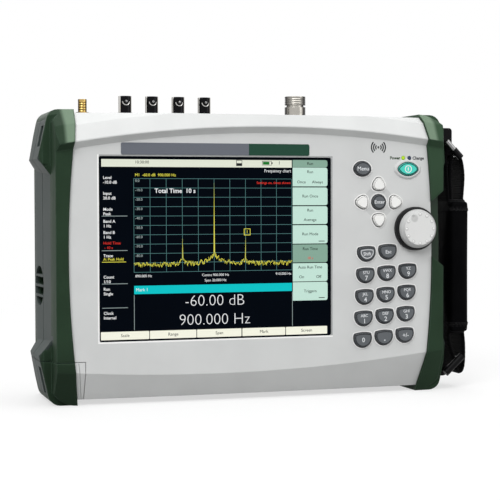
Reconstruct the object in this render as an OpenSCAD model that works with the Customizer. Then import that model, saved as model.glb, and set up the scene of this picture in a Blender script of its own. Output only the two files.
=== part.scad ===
// Handheld spectrum analyzer with bumper ends, key field, tuning knob and hand strap
// Millimetres. Origin on the surface it stands on, below the middle of the case.
// +X to the right seen from the front, +Y to the back, +Z up.

/* [Case] */
// Depth over the bumpers
case_d = 94; // [90:1:100]
// Height over the bumpers
case_h = 211; // [207:1:216]
// Half width over the bumper sides
side_hw = 151.5; // [140:0.5:165]
// Width of a bumper beside the widest point of the panel
bumper_w = 12.8; // [11.5:0.1:14]
// Radius of the bowed seam between panel and bumpers
seam_r = 750; // [650:10:1000]
// Height of the widest point of the seam above mid height
seam_lift = 2.5; // [-5:0.5:8]
// Wall thickness of both covers
wall = 3; // [2.6:0.1:3.4]
// Thickness of the back wall, which holds the stand's pivots
back_wall = 5; // [4.6:0.1:6]
// Gap under the body when it stands on its bumpers
foot_h = 4.3; // [3:0.1:6]
// Height of the bumpers above the body's top
bumper_rise = 2.5; // [1.5:0.1:4]
// Panel face behind the front of the bumpers
panel_set = 7; // [5:0.5:9]
// Back face of the body in front of the back of the bumpers
back_set = 5.5; // [5.2:0.1:7]
// Radius of the back edges of the body
back_r = 10; // [6:1:14]
// How far the covers reach under the bumpers
tongue_len = 7; // [5:0.5:8]
// Depth of the bumper material over the covers' tongues
tongue_inset = 5; // [4:0.5:6]

/* [Brow and chin] */
// Sideways place of the highest point of the brow
brow_x = 15; // [0:1:30]
// Highest point of the brow edge below the bumpers' top
brow_drop = 11.3; // [9:0.1:15]
// Radius of the arched brow edge
brow_r = 883; // [700:1:1100]
// Height of the sloped band under the brow
brow_band = 4.6; // [3:0.1:6]
// How far the brow stands in front of the panel
brow_depth = 4.5; // [3:0.1:6]
// Steepness of the brow's front, in degrees
brow_steep = 62; // [55:1:70]
// Steepness of the brow's upper slope, in degrees
brow_slope = 35; // [28:1:42]
// Height of the front of the brow at its ends
brow_front_h = 12; // [8:0.5:15]
// Sideways place of the lowest point of the chin line
chin_x = -32; // [-50:1:0]
// Height of the lowest point of the chin line
chin_z = 20.5; // [16:0.5:24]
// Radius of the arched chin line
chin_r = 1350; // [1000:10:2000]
// Backward fall of the chin per millimetre
chin_fall = 0.5; // [0.3:0.05:0.7]

/* [Bumpers] */
// How far the corner horns stand out beyond the sides
horn_out = 6; // [4:0.5:8]
// Height of a horn's outer end above its end of the bumper
horn_end_h = 5.5; // [4:0.5:8]
// Height of a horn's tip above its end of the bumper
horn_tip_h = 35.5; // [30:0.5:40]
// Height where a horn's ramp meets the side
horn_ramp_h = 48.5; // [44:0.5:54]
// Bumper face in front of the panel
bumper_proud = 2; // [1:0.1:3]
// Corner radius of the bumper ridges
ridge_r = 20; // [14:1:26]
// Sideways draft of the bumper sides
side_draft = 4; // [3:0.5:5]
// Front of the corner horns behind the front of the bumpers
horn_set = 20; // [17:1:23]
// Back of the corner horns in front of the back of the bumpers
horn_rear = 25; // [21:1:29]
// Thickness of the grey side strips
strip_t = 2.5; // [2:0.1:3]
// Front edge of the side strips behind the front of the bumpers
strip_set = 15; // [13:1:17]
// Back edge of the side strips in front of the back of the bumpers
strip_rear = 17; // [15:1:21]
// Margin between a horn's edge and its strip
strip_margin = 3; // [2:0.5:4]
// Width of the groove at the parting line of the strips
groove_w = 0.8; // [0.5:0.1:1.2]

/* [Battery door] */
// Width of the battery door's part of the panel
door_w = 12.1; // [11:0.1:13.5]
// Top edge of the battery door
door_z = 32; // [30:0.5:34]
// Gap round the battery door
door_gap = 0.4; // [0.3:0.05:0.6]
// Room in front of and behind the battery pack
battery_room = 38; // [37:0.5:45]
// Height of the battery pack
battery_h = 22; // [18:0.5:23]

/* [Screen] */
// Panel left of the screen opening
screen_left = 22; // [20:0.5:24]
// Panel right of the screen opening
screen_right = 81; // [80:0.5:84]
// Height of the screen opening's lower edge
screen_low = 45.6; // [44:0.2:48]
// Screen opening's upper edge below the bumpers' top
screen_top = 33.6; // [33:0.2:36]
// Corner radius of the screen opening
screen_r = 1.5; // [0.5:0.1:3]
// Depth of the lip in front of the window
lip_t = 1; // [0.6:0.1:1.4]
// Overlap of the window behind the lip
window_lap = 4; // [3:0.5:5]
// Thickness of the display module
display_t = 8; // [6:0.5:10]

/* [Keys] */
// Place of the key 0, in from the panel's right edge
key_in = 56.1; // [54.5:0.1:57]
// Place of the key 0, up, as a share of the height
key_share = 0.1962; // [0.19:0.001:0.205]
// Column step, sideways
key_col = 17; // [16.5:0.1:17.5]
// Rise of a row per column
key_rise = 1.35; // [0.8:0.05:1.6]
// Row step, up, as a share of the height
row_share = 0.0763; // [0.074:0.0005:0.078]
// Sideways lean of a column per row
key_lean = 0.75; // [0.5:0.05:1]
// Radius of a number key's lower edge
key_r = 7; // [6.6:0.1:7.2]
// Height of a number key
key_h = 10.7; // [10:0.1:11.2]
// Radius of a number key's arched top
key_arch_r = 25; // [18:1:40]
// Height of the keys above the panel
key_proud = 2; // [1.5:0.1:2.6]
// Bevel of the key tops
key_bevel = 0.7; // [0.4:0.1:1]
// Gap between a key and its hole
key_gap = 0.35; // [0.3:0.05:0.5]
// Travel of a key
key_travel = 1; // [0.8:0.1:1.2]
// Rest gap in front of and behind the key flanges
key_play = 0.3; // [0.25:0.05:0.4]
// Thickness of the flange that keeps a key in
flange_t = 0.9; // [0.7:0.1:1.2]
// Overhang of the key flange
flange_w = 0.9; // [0.7:0.1:1.1]
// Place of the Enter key, in from the panel's right edge
nav_in = 43.3; // [42.5:0.1:44.5]
// Height of the Enter key as a share of the height
nav_share = 0.6848; // [0.682:0.001:0.692]
// Radius of the Enter key
nav_r = 5.5; // [5:0.1:6]
// Distance of the arrow keys from Enter
nav_ring = 13.2; // [12.8:0.1:14]
// Width of an arrow key
arrow_w = 10.2; // [9.4:0.1:10.6]
// Rounding radius of an arrow key's tips
arrow_tip = 5.1; // [4.8:0.1:5.4]
// Place of the menu key, in from the panel's right edge
menu_in = 56.4; // [55.7:0.1:57.5]
// Height of the two oval keys as a share of the height
oval_share = 0.8024; // [0.799:0.001:0.806]
// Width of the menu key
menu_w = 14.2; // [13:0.1:14.8]
// Height of the menu key
menu_h = 10.7; // [10:0.1:11]
// Place of the power key, in from the panel's right edge
power_in = 20; // [19.3:0.1:20.7]
// Width of the power key
power_w = 17; // [16:0.1:18]
// Height of the power key
power_h = 9.8; // [9.2:0.1:10.4]
// Width of the raised rim round the power key
power_rim = 2.6; // [2:0.1:3]
// Height of that rim
power_rim_h = 1.3; // [0.8:0.1:1.6]
// First lamp left of the power key's middle
lamp_left = 3.3; // [2:0.1:4.5]
// Step from lamp to lamp
lamp_step = 4.9; // [4.4:0.1:5.4]
// Height of the lamps above the power key's middle
lamp_lift = 8.3; // [8.1:0.1:8.9]
// Radius of a lamp
lamp_r = 1.5; // [1.2:0.1:1.7]

/* [Knob] */
// Place of the knob, in from the panel's right edge
knob_in = 14.4; // [13.7:0.1:15.7]
// Height of the knob as a share of the height
knob_share = 0.59; // [0.587:0.001:0.595]
// Radius of the knob's face
knob_r = 14.6; // [13.6:0.1:15]
// Radius of the knob's dark skirt
skirt_r = 16.4; // [15.5:0.1:16.8]
// Height of the skirt
skirt_h = 5.6; // [4.5:0.1:7]
// Height of the knob's cap above the skirt
cap_h = 5.2; // [5:0.1:7]
// Gap between skirt and panel
knob_gap = 0.4; // [0.3:0.05:0.8]
// Radius of the finger dimple
dimple_r = 2.6; // [2:0.1:3]
// Number of marks round the knob's face
mark_count = 12; // [8:1:16]
// Radius of the knob's shaft
shaft_r = 3; // [2.5:0.1:3.2]
// Running clearance of the shaft
shaft_fit = 0.05; // [0.02:0.01:0.09]
// Wall of the threaded bush
bush_wall = 1.6; // [1.4:0.1:2]

/* [Connectors] */
// Place of the N connector as a share of the panel's half width
n_share = 0.3107; // [0.3:0.001:0.33]
// Radius of the N connector's thread
n_r = 7.94; // [7.9:0.01:8]
// Place of the small gold connector, in from the panel's left edge
sma_in = 17.9; // [17.5:0.1:20]
// Radius of the small gold connector's thread
sma_r = 3.18; // [3.1:0.01:3.2]
// Place of the first bayonet connector, in from the panel's left edge
bnc_in = 49.6; // [48:0.1:51]
// Step of the bayonet connectors as a share of the panel's half width
bnc_share = 0.1449; // [0.135:0.0005:0.148]
// Radius of a bayonet connector's barrel
bnc_r = 4.83; // [4.8:0.01:4.86]
// Half depth of the connector panel
top_panel_d = 13; // [12:0.5:16]
// Left end of the connector panel, in from the panel's left edge
top_left = 11.7; // [11:0.1:12.2]
// Right end of the connector panel, in from the panel's right edge
top_right = 26.7; // [23:0.1:34]
// Fit gap of pieces set in the connector panel
panel_fit = 0.1; // [0.05:0.01:0.2]

/* [Stand] */
// Half width between the stand's legs
bail_hw = 62; // [50:1:70]
// Width of a stand leg
bail_w = 12; // [10:0.5:15]
// Thickness of the stand
bail_t = 4; // [3.4:0.1:4.2]
// Height of the stand's pivot as a share of the height
bail_share = 0.711; // [0.66:0.01:0.74]
// Length of the stand below its pivot as a share of the height
bail_reach = 0.493; // [0.42:0.01:0.53]
// Radius of the pivot pins
bail_pin_r = 1.8; // [1.5:0.1:2]
// Running clearance of the pivot pins
bail_fit = 0.06; // [0.03:0.01:0.09]
// Radius of the rounded leg ends
bail_end_r = 4; // [3.6:0.1:4.2]
// Gap between the stand and what it folds against
bail_gap = 0.4; // [0.3:0.05:0.6]
// Width of a hinge ear
ear_w = 5; // [4:0.5:7]

/* [Hand strap] */
// Depth place of the strap's middle
strap_y = -7; // [-9:0.5:-4]
// Gap between the side and the padded grip
pad_gap = 7; // [7:0.5:9]
// Thickness of the padded grip
pad_t = 18; // [15:0.5:20]
// Width of the padded grip
pad_w = 44; // [38:1:46]
// Lower end of the padded grip
pad_z0 = 42; // [41:0.5:46]
// Upper end of the padded grip below the bumpers' top
pad_top = 64; // [61:0.5:71]
// Radius of the wire of the metal ring
wire_r = 1.5; // [1.3:0.1:1.7]
// Half width of the rings
ring_hw = 17.5; // [16.5:0.5:19]
// Width of the webbing
web_w = 28; // [24:0.5:29]
// Thickness of the webbing
web_t = 2.4; // [2:0.1:2.8]
// Gap between webbing and rings
web_gap = 0.4; // [0.3:0.05:0.6]
// Width of a strap lug
lug_w = 16; // [12:0.5:18]
// Radius of the eye in a strap lug
eye_r = 2.4; // [2.3:0.05:2.6]

/* [Hidden] */
$fn = 64;
arc_fn = 360;
far = 400;
eps = 0.01;
front_y = -case_d / 2;
back_y = case_d / 2;
mid_z = case_h / 2;
panel_hw = side_hw - bumper_w;
horn_hw = side_hw + horn_out;
seam_z = mid_z + seam_lift;
brow_z = case_h - brow_drop;
horn_end = mid_z - horn_end_h;
horn_tip = mid_z - horn_tip_h;
horn_ramp = mid_z - horn_ramp_h;
horn_front = front_y + horn_set;
horn_back = back_y - horn_rear;
strip_front = front_y + strip_set;
strip_back = back_y - strip_rear;
door_x = door_w - panel_hw;
screen_w = 2 * panel_hw - screen_left - screen_right;
screen_h = case_h - screen_low - screen_top;
screen_x = (screen_left - screen_right) / 2;
screen_z = (screen_low + case_h - screen_top) / 2;
key_x = panel_hw - key_in;
key_z = key_share * case_h;
key_row = row_share * case_h;
nav_x = panel_hw - nav_in;
nav_z = nav_share * case_h;
menu_x = panel_hw - menu_in;
oval_z = oval_share * case_h;
power_x = panel_hw - power_in;
lamp_x = power_x - lamp_left;
lamp_z = oval_z + lamp_lift;
knob_x = panel_hw - knob_in;
knob_z = knob_share * case_h;
n_x = n_share * panel_hw;
sma_x = sma_in - panel_hw;
bnc_x = bnc_in - panel_hw;
bnc_step = bnc_share * panel_hw;
top_panel_x0 = top_left - panel_hw;
top_panel_x1 = panel_hw - top_right;
bail_z = bail_share * case_h;
bail_l = bail_reach * case_h;
pad_x = side_hw + pad_gap;
pad_z1 = case_h - pad_top;
panel_y = front_y + panel_set;
face_y = panel_y - bumper_proud;
inner_y = panel_y + wall;
rear_y = back_y - back_set;
rear_in_y = rear_y - back_wall;
top_z = case_h - bumper_rise;
top_in_z = top_z - wall;
floor_in_z = foot_h + wall;
tongue_y0 = face_y + tongue_inset;
tongue_y1 = rear_y - tongue_inset;
tongue_z0 = foot_h + tongue_inset;
tongue_z1 = top_z - tongue_inset;
board_y = inner_y + key_play + flange_t + key_travel + 2 * key_play;
board_t = 1.6;
main_y = 4;
window_t = wall - lip_t;
bay_roof_t = 2;
screw_r = 1.5;
screw_head_r = 3;
screw_head_h = 2.6;
boss_r = 4;
bush_r = shaft_r + shaft_fit + bush_wall;
screw_in = 17.7;
screw_drop = 18;
case_screw_points = [[screw_in - panel_hw, case_h - screw_drop], [panel_hw - screw_in, case_h - screw_drop],
  [panel_hw - screw_in, 24], [52, 14], [38.7 - panel_hw, door_z + 4]];
board_x = panel_hw - 26.7;
board_z0 = door_z + 20;
board_z1 = case_h - 25;
post_inset = 8;
board_posts = [for (x = [-board_x + post_inset, -60, board_x - post_inset])
  for (z = [board_z0 + post_inset, board_z1 - post_inset]) [x, z]];
key_post_x0 = key_x - key_r - 1.6;
key_post_x1 = key_x + 2 * key_col + key_r + 2.4;
key_posts = [[key_post_x0, key_z + 0.53 * key_row], [key_post_x1, key_z + 0.53 * key_row],
  [key_post_x0, key_z + 3.5 * key_row], [key_post_x1, key_z + 3.9 * key_row],
  [nav_x + nav_ring, nav_z - 2 * nav_ring + 2], [menu_x - 6, oval_z + 8.7], [power_x - 10.7, oval_z + 8.7]];
pin_y = rear_y + bail_gap + bail_t / 2;
eye_x = horn_hw + 1.9;
ring_top = [eye_x, case_h - 21];
ring_low = [eye_x + 8.6, case_h - 30];
buckle_low = [eye_x, 14];
buckle_top = [eye_x + 9.8, 23];
pad_mid_x = pad_x + pad_t / 2;
// Sockets with a square mouth: place, width, depth, mouth width, mouth depth
box_sockets = [[0, 14.5, 12.5, 12, 10], [0.1312 * panel_hw, 14.2, 7, 12.6, 5.4]];
// Round sockets: place, outer radius, mouth radius
round_sockets = [[0.5624 * panel_hw, 5.5, 2.75], [0.685 * panel_hw, 4, 1.8]];
plate_margin = 2.25;
plate_x0 = box_sockets[0][0] - box_sockets[0][1] / 2 - plate_margin;
plate_x1 = box_sockets[1][0] + box_sockets[1][1] / 2 + plate_margin;
socket_depth = 11;
socket_lip = 0.6;
n_top = top_z + 16.4;
sma_top = top_z + 11.4;
bnc_top = top_z + 14.3;

number_keys = [
  ["key_0", 0, 0], ["key_point", 1, 0], ["key_sign", 2, 0],
  ["key_1", 0, 1], ["key_2", 1, 1], ["key_3", 2, 1],
  ["key_4", 0, 2], ["key_5", 1, 2], ["key_6", 2, 2],
  ["key_7", 0, 3], ["key_8", 1, 3], ["key_9", 2, 3],
  ["key_shift", 0, 4], ["key_escape", 1, 4]];
arrow_keys = [["key_right", 0], ["key_up", 90], ["key_left", 180], ["key_down", 270]];

// Extrusions along one axis: a profile's first axis is X, or Y where it runs along X
module along_x(x0, x1) translate([x0, 0, 0]) rotate([90, 0, 90]) linear_extrude(x1 - x0) children();
module along_y(y0, y1) translate([0, y1, 0]) rotate([90, 0, 0]) linear_extrude(y1 - y0) children();
module along_z(z0, z1) translate([0, 0, z0]) linear_extrude(z1 - z0) children();

// Revolve of a radius and depth profile about an axis that runs front to back
module around_y(x, z, fn = 64) translate([x, 0, z]) rotate([-90, 0, 0]) rotate_extrude($fn = fn) children();

module rod_x(x0, x1, y, z, r) translate([x0, y, z]) rotate([0, 90, 0]) cylinder(h = x1 - x0, r = r);
module rod_y(y0, y1, x, z, r) translate([x, y0, z]) rotate([-90, 0, 0]) cylinder(h = y1 - y0, r = r);
module rod_z(z0, z1, x, y, r) translate([x, y, z0]) cylinder(h = z1 - z0, r = r);
module block(lo, hi) translate(lo) cube(hi - lo);

module corner_cut(x, y, sx, sy, r) {
  translate([x, y]) difference() {
    translate([sx > 0 ? -1 : -r, sy > 0 ? -1 : -r]) square(r + 1);
    translate([sx * r, sy * r]) circle(r);
  }
}

// Rectangle with a radius at each corner: low low, high low, high high, low high
module corner_rect(x0, y0, x1, y1, r) {
  difference() {
    translate([x0, y0]) square([x1 - x0, y1 - y0]);
    if (r[0] > 0) corner_cut(x0, y0, 1, 1, r[0]);
    if (r[1] > 0) corner_cut(x1, y0, -1, 1, r[1]);
    if (r[2] > 0) corner_cut(x1, y1, -1, -1, r[2]);
    if (r[3] > 0) corner_cut(x0, y1, 1, -1, r[3]);
  }
}

// Bowed outline of the panel, wider by grow at each end
module seam_outline(grow) {
  intersection() {
    translate([panel_hw + grow - seam_r, seam_z]) circle(seam_r, $fn = arc_fn);
    translate([seam_r - panel_hw - grow, seam_z]) circle(seam_r, $fn = arc_fn);
  }
}

// Everything below the brow's front and its upper slope, larger by grow
module brow_top(grow) {
  intersection() {
    brow_drum(brow_steep, panel_y - brow_depth, brow_z + 0.4, grow);
    brow_drum(brow_slope, panel_y - brow_depth + brow_front_h / tan(brow_steep),
      brow_z + brow_front_h, grow);
  }
}

// Tilted drum whose front section is the brow's arc at the depth y
module brow_drum(tilt, y, z, grow) {
  drum_r = brow_r / cos(tilt);
  drop = drum_r / cos(tilt);
  translate([brow_x, y, z - drop]) rotate([tilt - 90, 0, 0])
    translate([0, 0, -2 * drum_r]) cylinder(h = 4 * drum_r, r = drum_r + grow, $fn = 2 * arc_fn);
}

// Space in front of the recessed panel, with the sloped band under the brow
module brow_recess(y) {
  around_y(brow_x, brow_z - brow_r, arc_fn) polygon([
    [0, y], [brow_r - brow_band, y], [brow_r - 0.4, y - brow_depth], [brow_r - 0.4, y - far],
    [0, y - far]]);
}

// Space in front of the chin, which falls back below its arched line
module chin_cut(y) {
  around_y(chin_x, chin_z + chin_r, arc_fn) polygon([
    [chin_r, y], [chin_r + far, y + far * chin_fall], [chin_r + far, y - far], [chin_r, y - far]]);
}

// Outer form of the body between the bumpers
module body_block() {
  difference() {
    intersection() {
      along_x(-far, far)
        corner_rect(panel_y - brow_depth, foot_h, rear_y, top_z, [3, back_r, back_r, 0]);
      along_y(-far, far) seam_outline(0);
      brow_top(0);
    }
    brow_recess(panel_y);
    chin_cut(panel_y);
  }
}

// Ends of the covers that reach under the bumpers, smaller all round by inset
module tongue_block(inset) {
  difference() {
    intersection() {
      along_x(-far, far) corner_rect(tongue_y0 + inset, tongue_z0 + inset,
        tongue_y1 - inset, tongue_z1 - inset, [3, back_r - 2, back_r - 2, 3]);
      along_y(-far, far) seam_outline(tongue_len - inset);
      brow_top(-tongue_inset - inset);
    }
    chin_cut(tongue_y0 + inset);
  }
}

// Hollow of the covers
module body_hollow() {
  difference() {
    intersection() {
      along_x(-far, far)
        corner_rect(inner_y, floor_in_z, rear_in_y, top_in_z, [2, back_r - wall, back_r - wall, 0]);
      along_y(-far, far) seam_outline(-wall);
      brow_top(-wall - 1);
    }
    chin_cut(inner_y);
  }
  tongue_block(2.5);
}

module cover_shell() {
  difference() {
    union() {
      body_block();
      tongue_block(0);
    }
    body_hollow();
  }
}

// Corner of the case that the battery door takes, kept back by gap
module door_space(gap) block([-far, -far, -far], [door_x - gap, far, door_z - gap]);

// Roof of the battery bay
module bay_roof(y0, y1) {
  intersection() {
    block([-far, y0, door_z], [door_x + battery_l + 12, y1, door_z + bay_roof_t]);
    body_hollow();
  }
}

// Space of the connector panel in the covers' top
module top_panel_space(gap) {
  block([top_panel_x0 - gap, -top_panel_d - gap, top_in_z], [top_panel_x1 + gap, top_panel_d + gap, top_z]);
}

// Openings of the fan on the left side
fan_w = 40;
fan_room = 3.5;
fan_y = rear_in_y - fan_room - fan_w / 2;
fan_z = 84;
fan_t = 10;
fan_open_r = 14.5;
fan_bar_t = 1.8;
fan_bar_step = 7.4;
module fan_openings() {
  difference() {
    rod_x(-far, -panel_hw + wall, fan_y, fan_z, fan_open_r);
    for (i = [-1 : 1])
      block([-far - 1, -far, fan_z + i * fan_bar_step - fan_bar_t / 2],
        [0, far, fan_z + i * fan_bar_step + fan_bar_t / 2]);
  }
}

// Disc along the depth with a bevelled front edge
module disc(x, z, r, y0, y1, bevel) {
  around_y(x, z) polygon([[0, y0], [r - bevel, y0], [r, y0 + bevel], [r, y1], [0, y1]]);
}

// Shield form of the number keys: a round lower edge under an arched top
module shield(grow, y0, y1, bevel) {
  intersection() {
    disc(0, key_r - key_h / 2, key_r + grow, y0, y1, bevel);
    disc(0, key_h / 2 - key_arch_r, key_arch_r + grow, y0, y1, bevel);
  }
}

// Oval of two crossing arcs with blunted tips
module almond(w, h, grow, y0, y1, bevel) {
  arc_r = (w * w + h * h) / (4 * h);
  intersection() {
    disc(0, h / 2 - arc_r, arc_r + grow, y0, y1, bevel);
    disc(0, arc_r - h / 2, arc_r + grow, y0, y1, bevel);
    disc(0, 0, w / 2 - 0.4 + grow, y0, y1, bevel);
  }
}

// Three-sided arrow key of constant width with rounded tips, one tip along the angle
module pick(angle, grow, y0, y1, bevel) {
  reach = arrow_w / sqrt(3);
  intersection() {
    intersection_for (i = [0 : 2])
      disc(reach * cos(angle + 120 * i), reach * sin(angle + 120 * i), arrow_w + grow, y0, y1, bevel);
    disc(0, 0, arrow_tip + grow, y0, y1, bevel);
  }
}

// Places of the keys on the panel
function number_at(c, r) = [key_x + key_col * c + key_lean * r, 0, key_z + key_rise * c + key_row * r];
function arrow_at(angle) = [nav_x + nav_ring * cos(angle), 0, nav_z + nav_ring * sin(angle)];
key_turn = atan2(key_rise, key_col) / 2;

// A key's plunger: bevelled cap, flange behind the panel and stem to the switch
flange_y = inner_y + key_play;
stem_r = 2.2;
module plunger() {
  children(0);
  children(1);
  rod_y(flange_y + flange_t - eps, board_y - key_travel - key_play, 0, 0, stem_r);
}
cap_y = panel_y - key_proud;
flange_end = flange_y + flange_t;
module number_plunger() plunger() {
  shield(0, cap_y, flange_end, key_bevel);
  shield(flange_w, flange_y, flange_end, 0);
}
module arrow_plunger(angle) plunger() {
  pick(angle, 0, cap_y, flange_end, key_bevel);
  pick(angle, flange_w, flange_y, flange_end, 0);
}
module oval_plunger(w, h) plunger() {
  almond(w, h, 0, cap_y, flange_end, key_bevel);
  almond(w, h, flange_w, flange_y, flange_end, 0);
}
module round_plunger(r) plunger() {
  disc(0, 0, r, cap_y, flange_end, key_bevel);
  disc(0, 0, r + flange_w, flange_y, flange_end, 0);
}

// Holes of all keys through the panel
module key_holes() {
  y0 = panel_y - 5;
  y1 = inner_y + 1;
  for (k = number_keys)
    translate(number_at(k[1], k[2])) rotate([0, -key_turn, 0]) shield(key_gap, y0, y1, 0);
  for (k = arrow_keys)
    translate(arrow_at(k[1])) pick(k[1], key_gap, y0, y1, 0);
  translate([nav_x, 0, nav_z]) disc(0, 0, nav_r + key_gap, y0, y1, 0);
  translate([menu_x, 0, oval_z]) almond(menu_w, menu_h, key_gap, y0, y1, 0);
  translate([power_x, 0, oval_z]) almond(power_w, power_h, key_gap, y0, y1, 0);
}

// Front cover: bowed panel under the arched brow, with the screen, key, lamp and knob openings
module front_cover() color("gainsboro") {
  difference() {
    union() {
      intersection() {
        difference() {
          cover_shell();
          door_space(0);
        }
        block([-far, -far, -far], [far, 0, far]);
      }
      translate([power_x, 0, oval_z])
        almond(power_w, power_h, power_rim, panel_y - power_rim_h, inner_y, 1);
      bay_roof(-far, 0);
      intersection() {
        body_block();
        for (p = case_screw_points) rod_y(inner_y - eps, 0, p[0], p[1], boss_r);
      }
      for (p = key_posts) rod_y(inner_y - eps, board_y, p[0], p[1], stem_r);
    }
    screen_prism(0, panel_y - 1, inner_y + 1);
    screen_prism(window_lap, panel_y + lip_t, inner_y + 1);
    key_holes();
    lamp_holes();
    rod_y(panel_y - 1, inner_y + 1, knob_x, knob_z, bush_r + panel_fit);
    top_panel_space(panel_fit);
    for (p = case_screw_points) rod_y(-12, 1, p[0], p[1], screw_r);
    fan_openings();
  }
}

module screen_prism(grow, y0, y1) {
  along_y(y0, y1) translate([screen_x, screen_z])
    corner_rect(-screen_w / 2 - grow, -screen_h / 2 - grow, screen_w / 2 + grow, screen_h / 2 + grow,
      [screen_r, screen_r, screen_r, screen_r]);
}

module lamp_holes() {
  for (i = [0, 1]) rod_y(panel_y - 1, inner_y + 1, lamp_x + i * lamp_step, lamp_z, lamp_r + panel_fit);
}

// Rear cover: rounded back shell with the stand's pockets, cooling slots and screw posts
module rear_cover() color("silver") {
  difference() {
    union() {
      intersection() {
        difference() {
          cover_shell();
          door_space(0);
        }
        block([-far, 0, -far], [far, far, far]);
      }
      bay_roof(0, far);
      for (p = case_screw_points) rod_y(0, rear_in_y + eps, p[0], p[1], boss_r);
      for (p = board_posts) rod_y(main_y + board_t, rear_in_y + eps, p[0], p[1], boss_r);
    }
    top_panel_space(panel_fit);
    for (p = case_screw_points) {
      rod_y(-1, rear_y + 1, p[0], p[1], screw_r + panel_fit);
      rod_y(rear_y - screw_head_h, rear_y + 1, p[0], p[1], screw_head_r + panel_fit);
    }
    for (s = [-1, 1]) bail_pocket(s);
    back_slots();
    fan_openings();
  }
}

// Ears on the back at both sides of each stand leg, with the pins' seats
ear_r = back_y - pin_y;
module stand_ears() color("silver") {
  for (s = [-1, 1], side = [-1, 1]) {
    x0 = s * bail_hw + side * (bail_w / 2 + bail_gap + ear_w / 2) - ear_w / 2;
    difference() {
      union() {
        intersection() {
          rod_x(x0, x0 + ear_w, pin_y, bail_z, ear_r);
          block([-far, rear_y, -far], [far, far, far]);
        }
        block([x0, rear_y, bail_z - ear_r], [x0 + ear_w, pin_y, bail_z + ear_r]);
      }
      rod_x(-far, far, pin_y, bail_z, bail_pin_r);
    }
  }
}

// Pocket in the back wall for the rounded end of a stand leg
module bail_pocket(s) {
  x0 = s * bail_hw - bail_w / 2 - bail_gap;
  rod_x(x0, x0 + bail_w + 2 * bail_gap, pin_y, bail_z, bail_end_r + bail_gap);
}

slot_count = 9;
slot_step = 7;
slot_w = 3;
slot_h = 26;
module back_slots() {
  for (i = [0 : slot_count - 1])
    translate([(i - (slot_count - 1) / 2) * slot_step - slot_w / 2, rear_in_y - 1, bail_z + 16])
      cube([slot_w, back_wall + 2, slot_h]);
}

// Part of the plate set in the covers' top, between two places across, with the connectors' holes
module panel_part(x0, x1) {
  difference() {
    intersection() {
      top_panel_space(0);
      block([x0, -far, -far], [x1, far, far]);
    }
    rod_z(top_in_z - 1, top_z + 1, n_x, 0, n_r + panel_fit);
    rod_z(top_in_z - 1, top_z + 1, sma_x, 0, sma_r + panel_fit);
    for (i = [0 : 3]) rod_z(top_in_z - 1, top_z + 1, bnc_x + i * bnc_step, 0, bnc_r + panel_fit);
    for (b = box_sockets)
      block([b[0] - b[1] / 2 - panel_fit, -b[2] / 2 - panel_fit, top_in_z - 1],
        [b[0] + b[1] / 2 + panel_fit, b[2] / 2 + panel_fit, top_z + 1]);
    for (j = round_sockets) rod_z(top_in_z - 1, top_z + 1, j[0], 0, j[1] + panel_fit);
  }
}

module connector_panel() color("lightgray") {
  panel_part(-far, plate_x0 - panel_fit);
  panel_part(plate_x1 + panel_fit, far);
}

// Plate between the two, round the network and host sockets
module socket_plate() color("lightgray") panel_part(plate_x0, plate_x1);

// Drafted side ridges of the right bumper
module end_ridge() {
  intersection() {
    along_x(0, far) corner_rect(front_y, 0, back_y, case_h, [4, 5, 5, 0]);
    along_y(-far, far) corner_rect(0, 0, side_hw, case_h, [0, ridge_r, ridge_r, 0]);
    along_z(-far, far) polygon([[0, front_y - 1], [side_hw - side_draft - 3, front_y - 1],
      [side_hw - side_draft, face_y], [side_hw - side_draft + 1, strip_front], [side_hw, horn_back],
      [side_hw, strip_back + 2], [side_hw - side_draft - 2, back_y], [0, back_y]]);
  }
}

// Rounded outer corner of the horns, above or below the middle
horn_r = 9;
corner_x = side_hw + 0.1 - horn_r;
function horn_corner(s, i) = let (a = 90 - 16 * i)
  [corner_x + horn_r * cos(a), s * (mid_z - horn_r + horn_r * sin(a))];

// Corner horns of the right bumper, which stand out beyond the side
module end_horns() {
  inner = side_hw - side_draft;
  intersection() {
    along_y(horn_front, horn_back) translate([0, mid_z]) polygon(concat(
      [[0, -mid_z]], [for (i = [0 : 5]) horn_corner(-1, i)], [[horn_hw, -horn_tip],
      [inner, -horn_ramp], [inner, horn_ramp], [horn_hw, horn_tip]],
      [for (i = [5 : -1 : 0]) horn_corner(1, i)], [[0, mid_z]]));
    along_z(-far, far) polygon([[0, horn_front], [horn_hw - 3, horn_front], [horn_hw, horn_front + 4],
      [horn_hw, horn_back - 5], [horn_hw - 4, horn_back], [0, horn_back]]);
  }
}

// Outer form of a bumper end, s = 1 for the right and -1 for the left
module end_form(s) {
  difference() {
    intersection() {
      mirror([s > 0 ? 0 : 1, 0, 0]) union() {
        end_ridge();
        end_horns();
      }
      brow_top(bumper_proud);
    }
    brow_recess(face_y);
    chin_cut(face_y);
    along_y(-far, far) seam_outline(0);
  }
}

// Inlaid side strip, wide at mid height and narrow on the horns
module strip_form(s) {
  h0 = horn_front + strip_margin;
  h1 = horn_back - strip_margin;
  difference() {
    intersection() {
      end_form(s);
      along_x(s > 0 ? 0 : -far, s > 0 ? far : 0) translate([0, mid_z]) polygon([
        [h0, -horn_end + 2], [h1, -horn_end + 2], [h1, -horn_tip], [strip_back, -horn_ramp],
        [strip_back, horn_ramp], [h1, horn_tip], [h1, horn_end - 2], [h0, horn_end - 2],
        [h0, horn_tip], [strip_front, horn_ramp], [strip_front, -horn_ramp], [h0, -horn_tip]]);
    }
    translate([-s * strip_t, 0, 0]) end_form(s);
  }
}

// A bumper before its cut-outs, hollow over the cover's tongue
module bumper_form(s) {
  difference() {
    end_form(s);
    tongue_block(0);
    strip_form(s);
  }
}

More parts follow.
